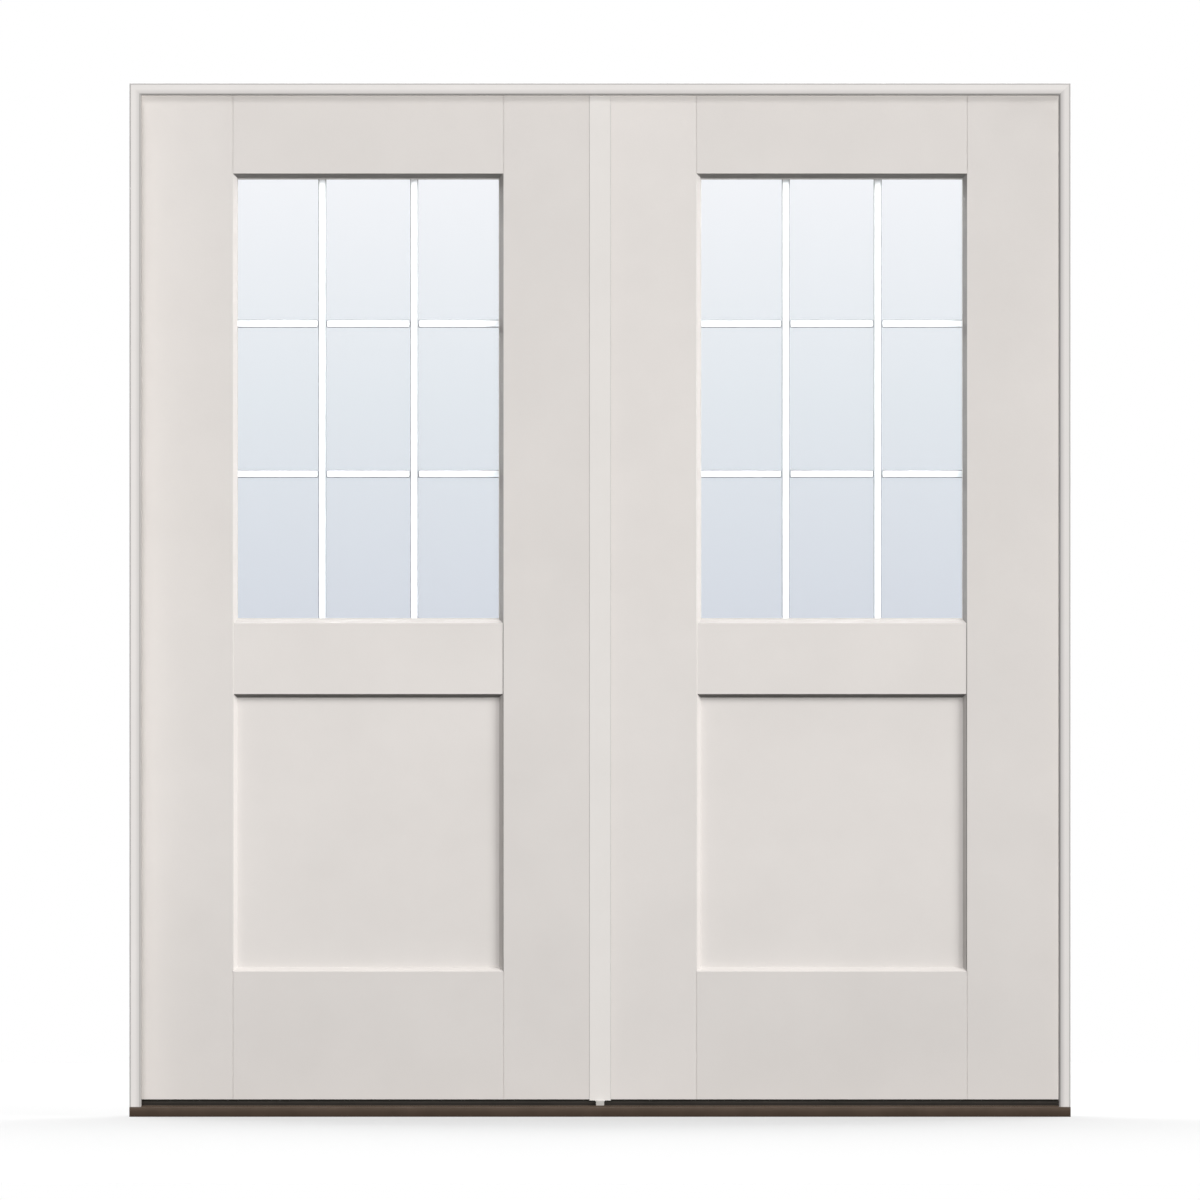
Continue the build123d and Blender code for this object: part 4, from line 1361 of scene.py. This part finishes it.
@dataclass
class Studio:
    """Camera, lamps, world and floor."""

    lens: float = 900.0
    sensor: float = 36.0
    frame_width: float = 2.397
    camera_height: float = 1.0319
    object_plane: float = -0.051
    world_ambient: float = 0.08
    glass_share: float = 0.45
    floor_radius: float = 7.0
    floor_tone: float = 0.11
    floor_bounce: float = 0.015
    floor_glow: float = 0.66

    def build(self) -> None:
        """Sets up everything round the object."""
        self.camera()
        self.world()
        floor = self.floor()
        right, top, _ = (lamp.build() for lamp in (RIGHT_LAMP, TOP_LAMP, FRONT_LAMP))
        backs = [lamp.build() for lamp in (LEFT_BACK_LAMP, RIGHT_BACK_LAMP)]
        above = FLOOR_LAMP.build()
        nodes, objects = frame["nodes"], bpy.data.objects
        proud = [nodes[name] for name in ("head_jamb", "jamb_right", "astragal", "astragal_seal")]
        proud += [objects[name] for name in ("head_bulb_seal", "jamb_bulb_seal_right")]
        self.link("receiver_collection", backs, [floor], "EXCLUDE")
        self.link("receiver_collection", [above], [floor], "INCLUDE")
        self.link("blocker_collection", [right, top], proud, "EXCLUDE")
        bpy.context.scene.view_settings.view_transform = "Standard"

    def camera(self) -> None:
        """A long lens straight in front of the doors."""
        data = bpy.data.cameras.new("front_camera")
        data.lens, data.sensor_width = self.lens, self.sensor
        distance = self.frame_width * self.lens / self.sensor
        data.clip_start, data.clip_end = 1.0, 4 * distance
        camera = bpy.data.objects.new("front_camera", data)
        camera.location = (0.0, self.object_plane - distance, self.camera_height)
        camera.rotation_euler = (math.radians(90), 0.0, 0.0)
        bpy.context.scene.collection.objects.link(camera)
        bpy.context.scene.camera = camera

    def world(self) -> None:
        """White to the eye and in gloss and glass, and dimmer as light."""
        world = bpy.data.worlds.new("studio_world")
        world.use_nodes = True
        bpy.context.scene.world = world
        board = NodeBoard(world.node_tree)
        path = board.add("LightPath")
        seen = board.maths("MAXIMUM", path.outputs["Is Camera Ray"], path.outputs["Is Glossy Ray"])
        seen = board.maths("MAXIMUM", seen, path.outputs["Is Transmission Ray"])
        seen = board.maths("MULTIPLY", seen, self.bounced(board, path))
        ambient = self.world_ambient
        strength = board.maths("ADD", board.maths("MULTIPLY", seen, 1.0 - ambient), ambient)
        back = board.add("Background", {"Color": (1.0, 1.0, 1.0, 1.0), "Strength": strength})
        board.add("OutputWorld", {"Surface": back.outputs["Background"]})

    def bounced(self, board: NodeBoard, path: Node) -> Socket:
        """White for light that reaches the eye through glass, less for light that a matt face takes in."""
        depth = board.maths("MINIMUM", path.outputs["Diffuse Depth"], 1.0)
        return board.maths("SUBTRACT", 1.0, board.maths("MULTIPLY", depth, 1.0 - self.glass_share))

    def link(self, role: str, lamps: list[Thing], things: list[Thing], state: str) -> None:
        """Says what some lamps light, or what shades them.

        Args:
            role: receiver_collection or blocker_collection.
            lamps: the lamps.
            things: what the list holds.
            state: INCLUDE for these things alone, or EXCLUDE for all but them.
        """
        listed = bpy.data.collections.new(f"{lamps[0].name}_{role}")
        for thing in things:
            listed.objects.link(thing)
        for lamp in lamps:
            setattr(lamp.light_linking, role, listed)
        for entry in listed.collection_objects:
            entry.light_linking.link_state = state

    def floor(self) -> Thing:
        """A pale round floor that keeps the object's shadow."""
        mesh = bmesh.new()
        bmesh.ops.create_circle(mesh, cap_ends=True, segments=96, radius=self.floor_radius)
        data = bpy.data.meshes.new("studio_floor")
        mesh.to_mesh(data)
        mesh.free()
        floor = bpy.data.objects.new("studio_floor", data)
        bpy.context.scene.collection.objects.link(floor)
        material = bpy.data.materials.new("floor_pale")
        material.use_nodes = True
        board = NodeBoard(material.node_tree)
        paper = board.add("BsdfDiffuse", {"Color": (*[self.floor_tone] * 3, 1.0)}).outputs["BSDF"]
        dim = board.add("BsdfDiffuse", {"Color": (*[self.floor_bounce] * 3, 1.0)}).outputs["BSDF"]
        glow = board.add("Emission", {"Color": (1.0, 1.0, 1.0, 1.0), "Strength": self.floor_glow})
        lit = board.add("AddShader", {0: paper, 1: glow.outputs["Emission"]}).outputs["Shader"]
        bounces = board.maths("MINIMUM", board.add("LightPath").outputs["Diffuse Depth"], 1.0)
        mixed = board.add("MixShader", {0: bounces, 1: lit, 2: dim})
        board.add("OutputMaterial", {"Surface": mixed.outputs["Shader"]})
        data.materials.append(material)
        return floor


def main() -> None:
    """Builds every sub-assembly and the studio."""
    logging.basicConfig(level=logging.INFO, format="%(name)s: %(message)s")
    fasteners = Fasteners(ScrewSizes())
    Surround().build()
    Sill(fasteners).build()
    Leaf("left", Body.PASSIVE, LeafSizes()).build()
    # the right leaf's tones, with its right stile darker as painted shade
    Leaf("right", Body.ACTIVE, LeafSizes(tones=(1.005, 0.965, 0.975, 1.015, 0.97))).build()
    MeetingStile().build()
    Hinges(fasteners).build()
    Studio().build()


if __name__ == "__main__":
    main()
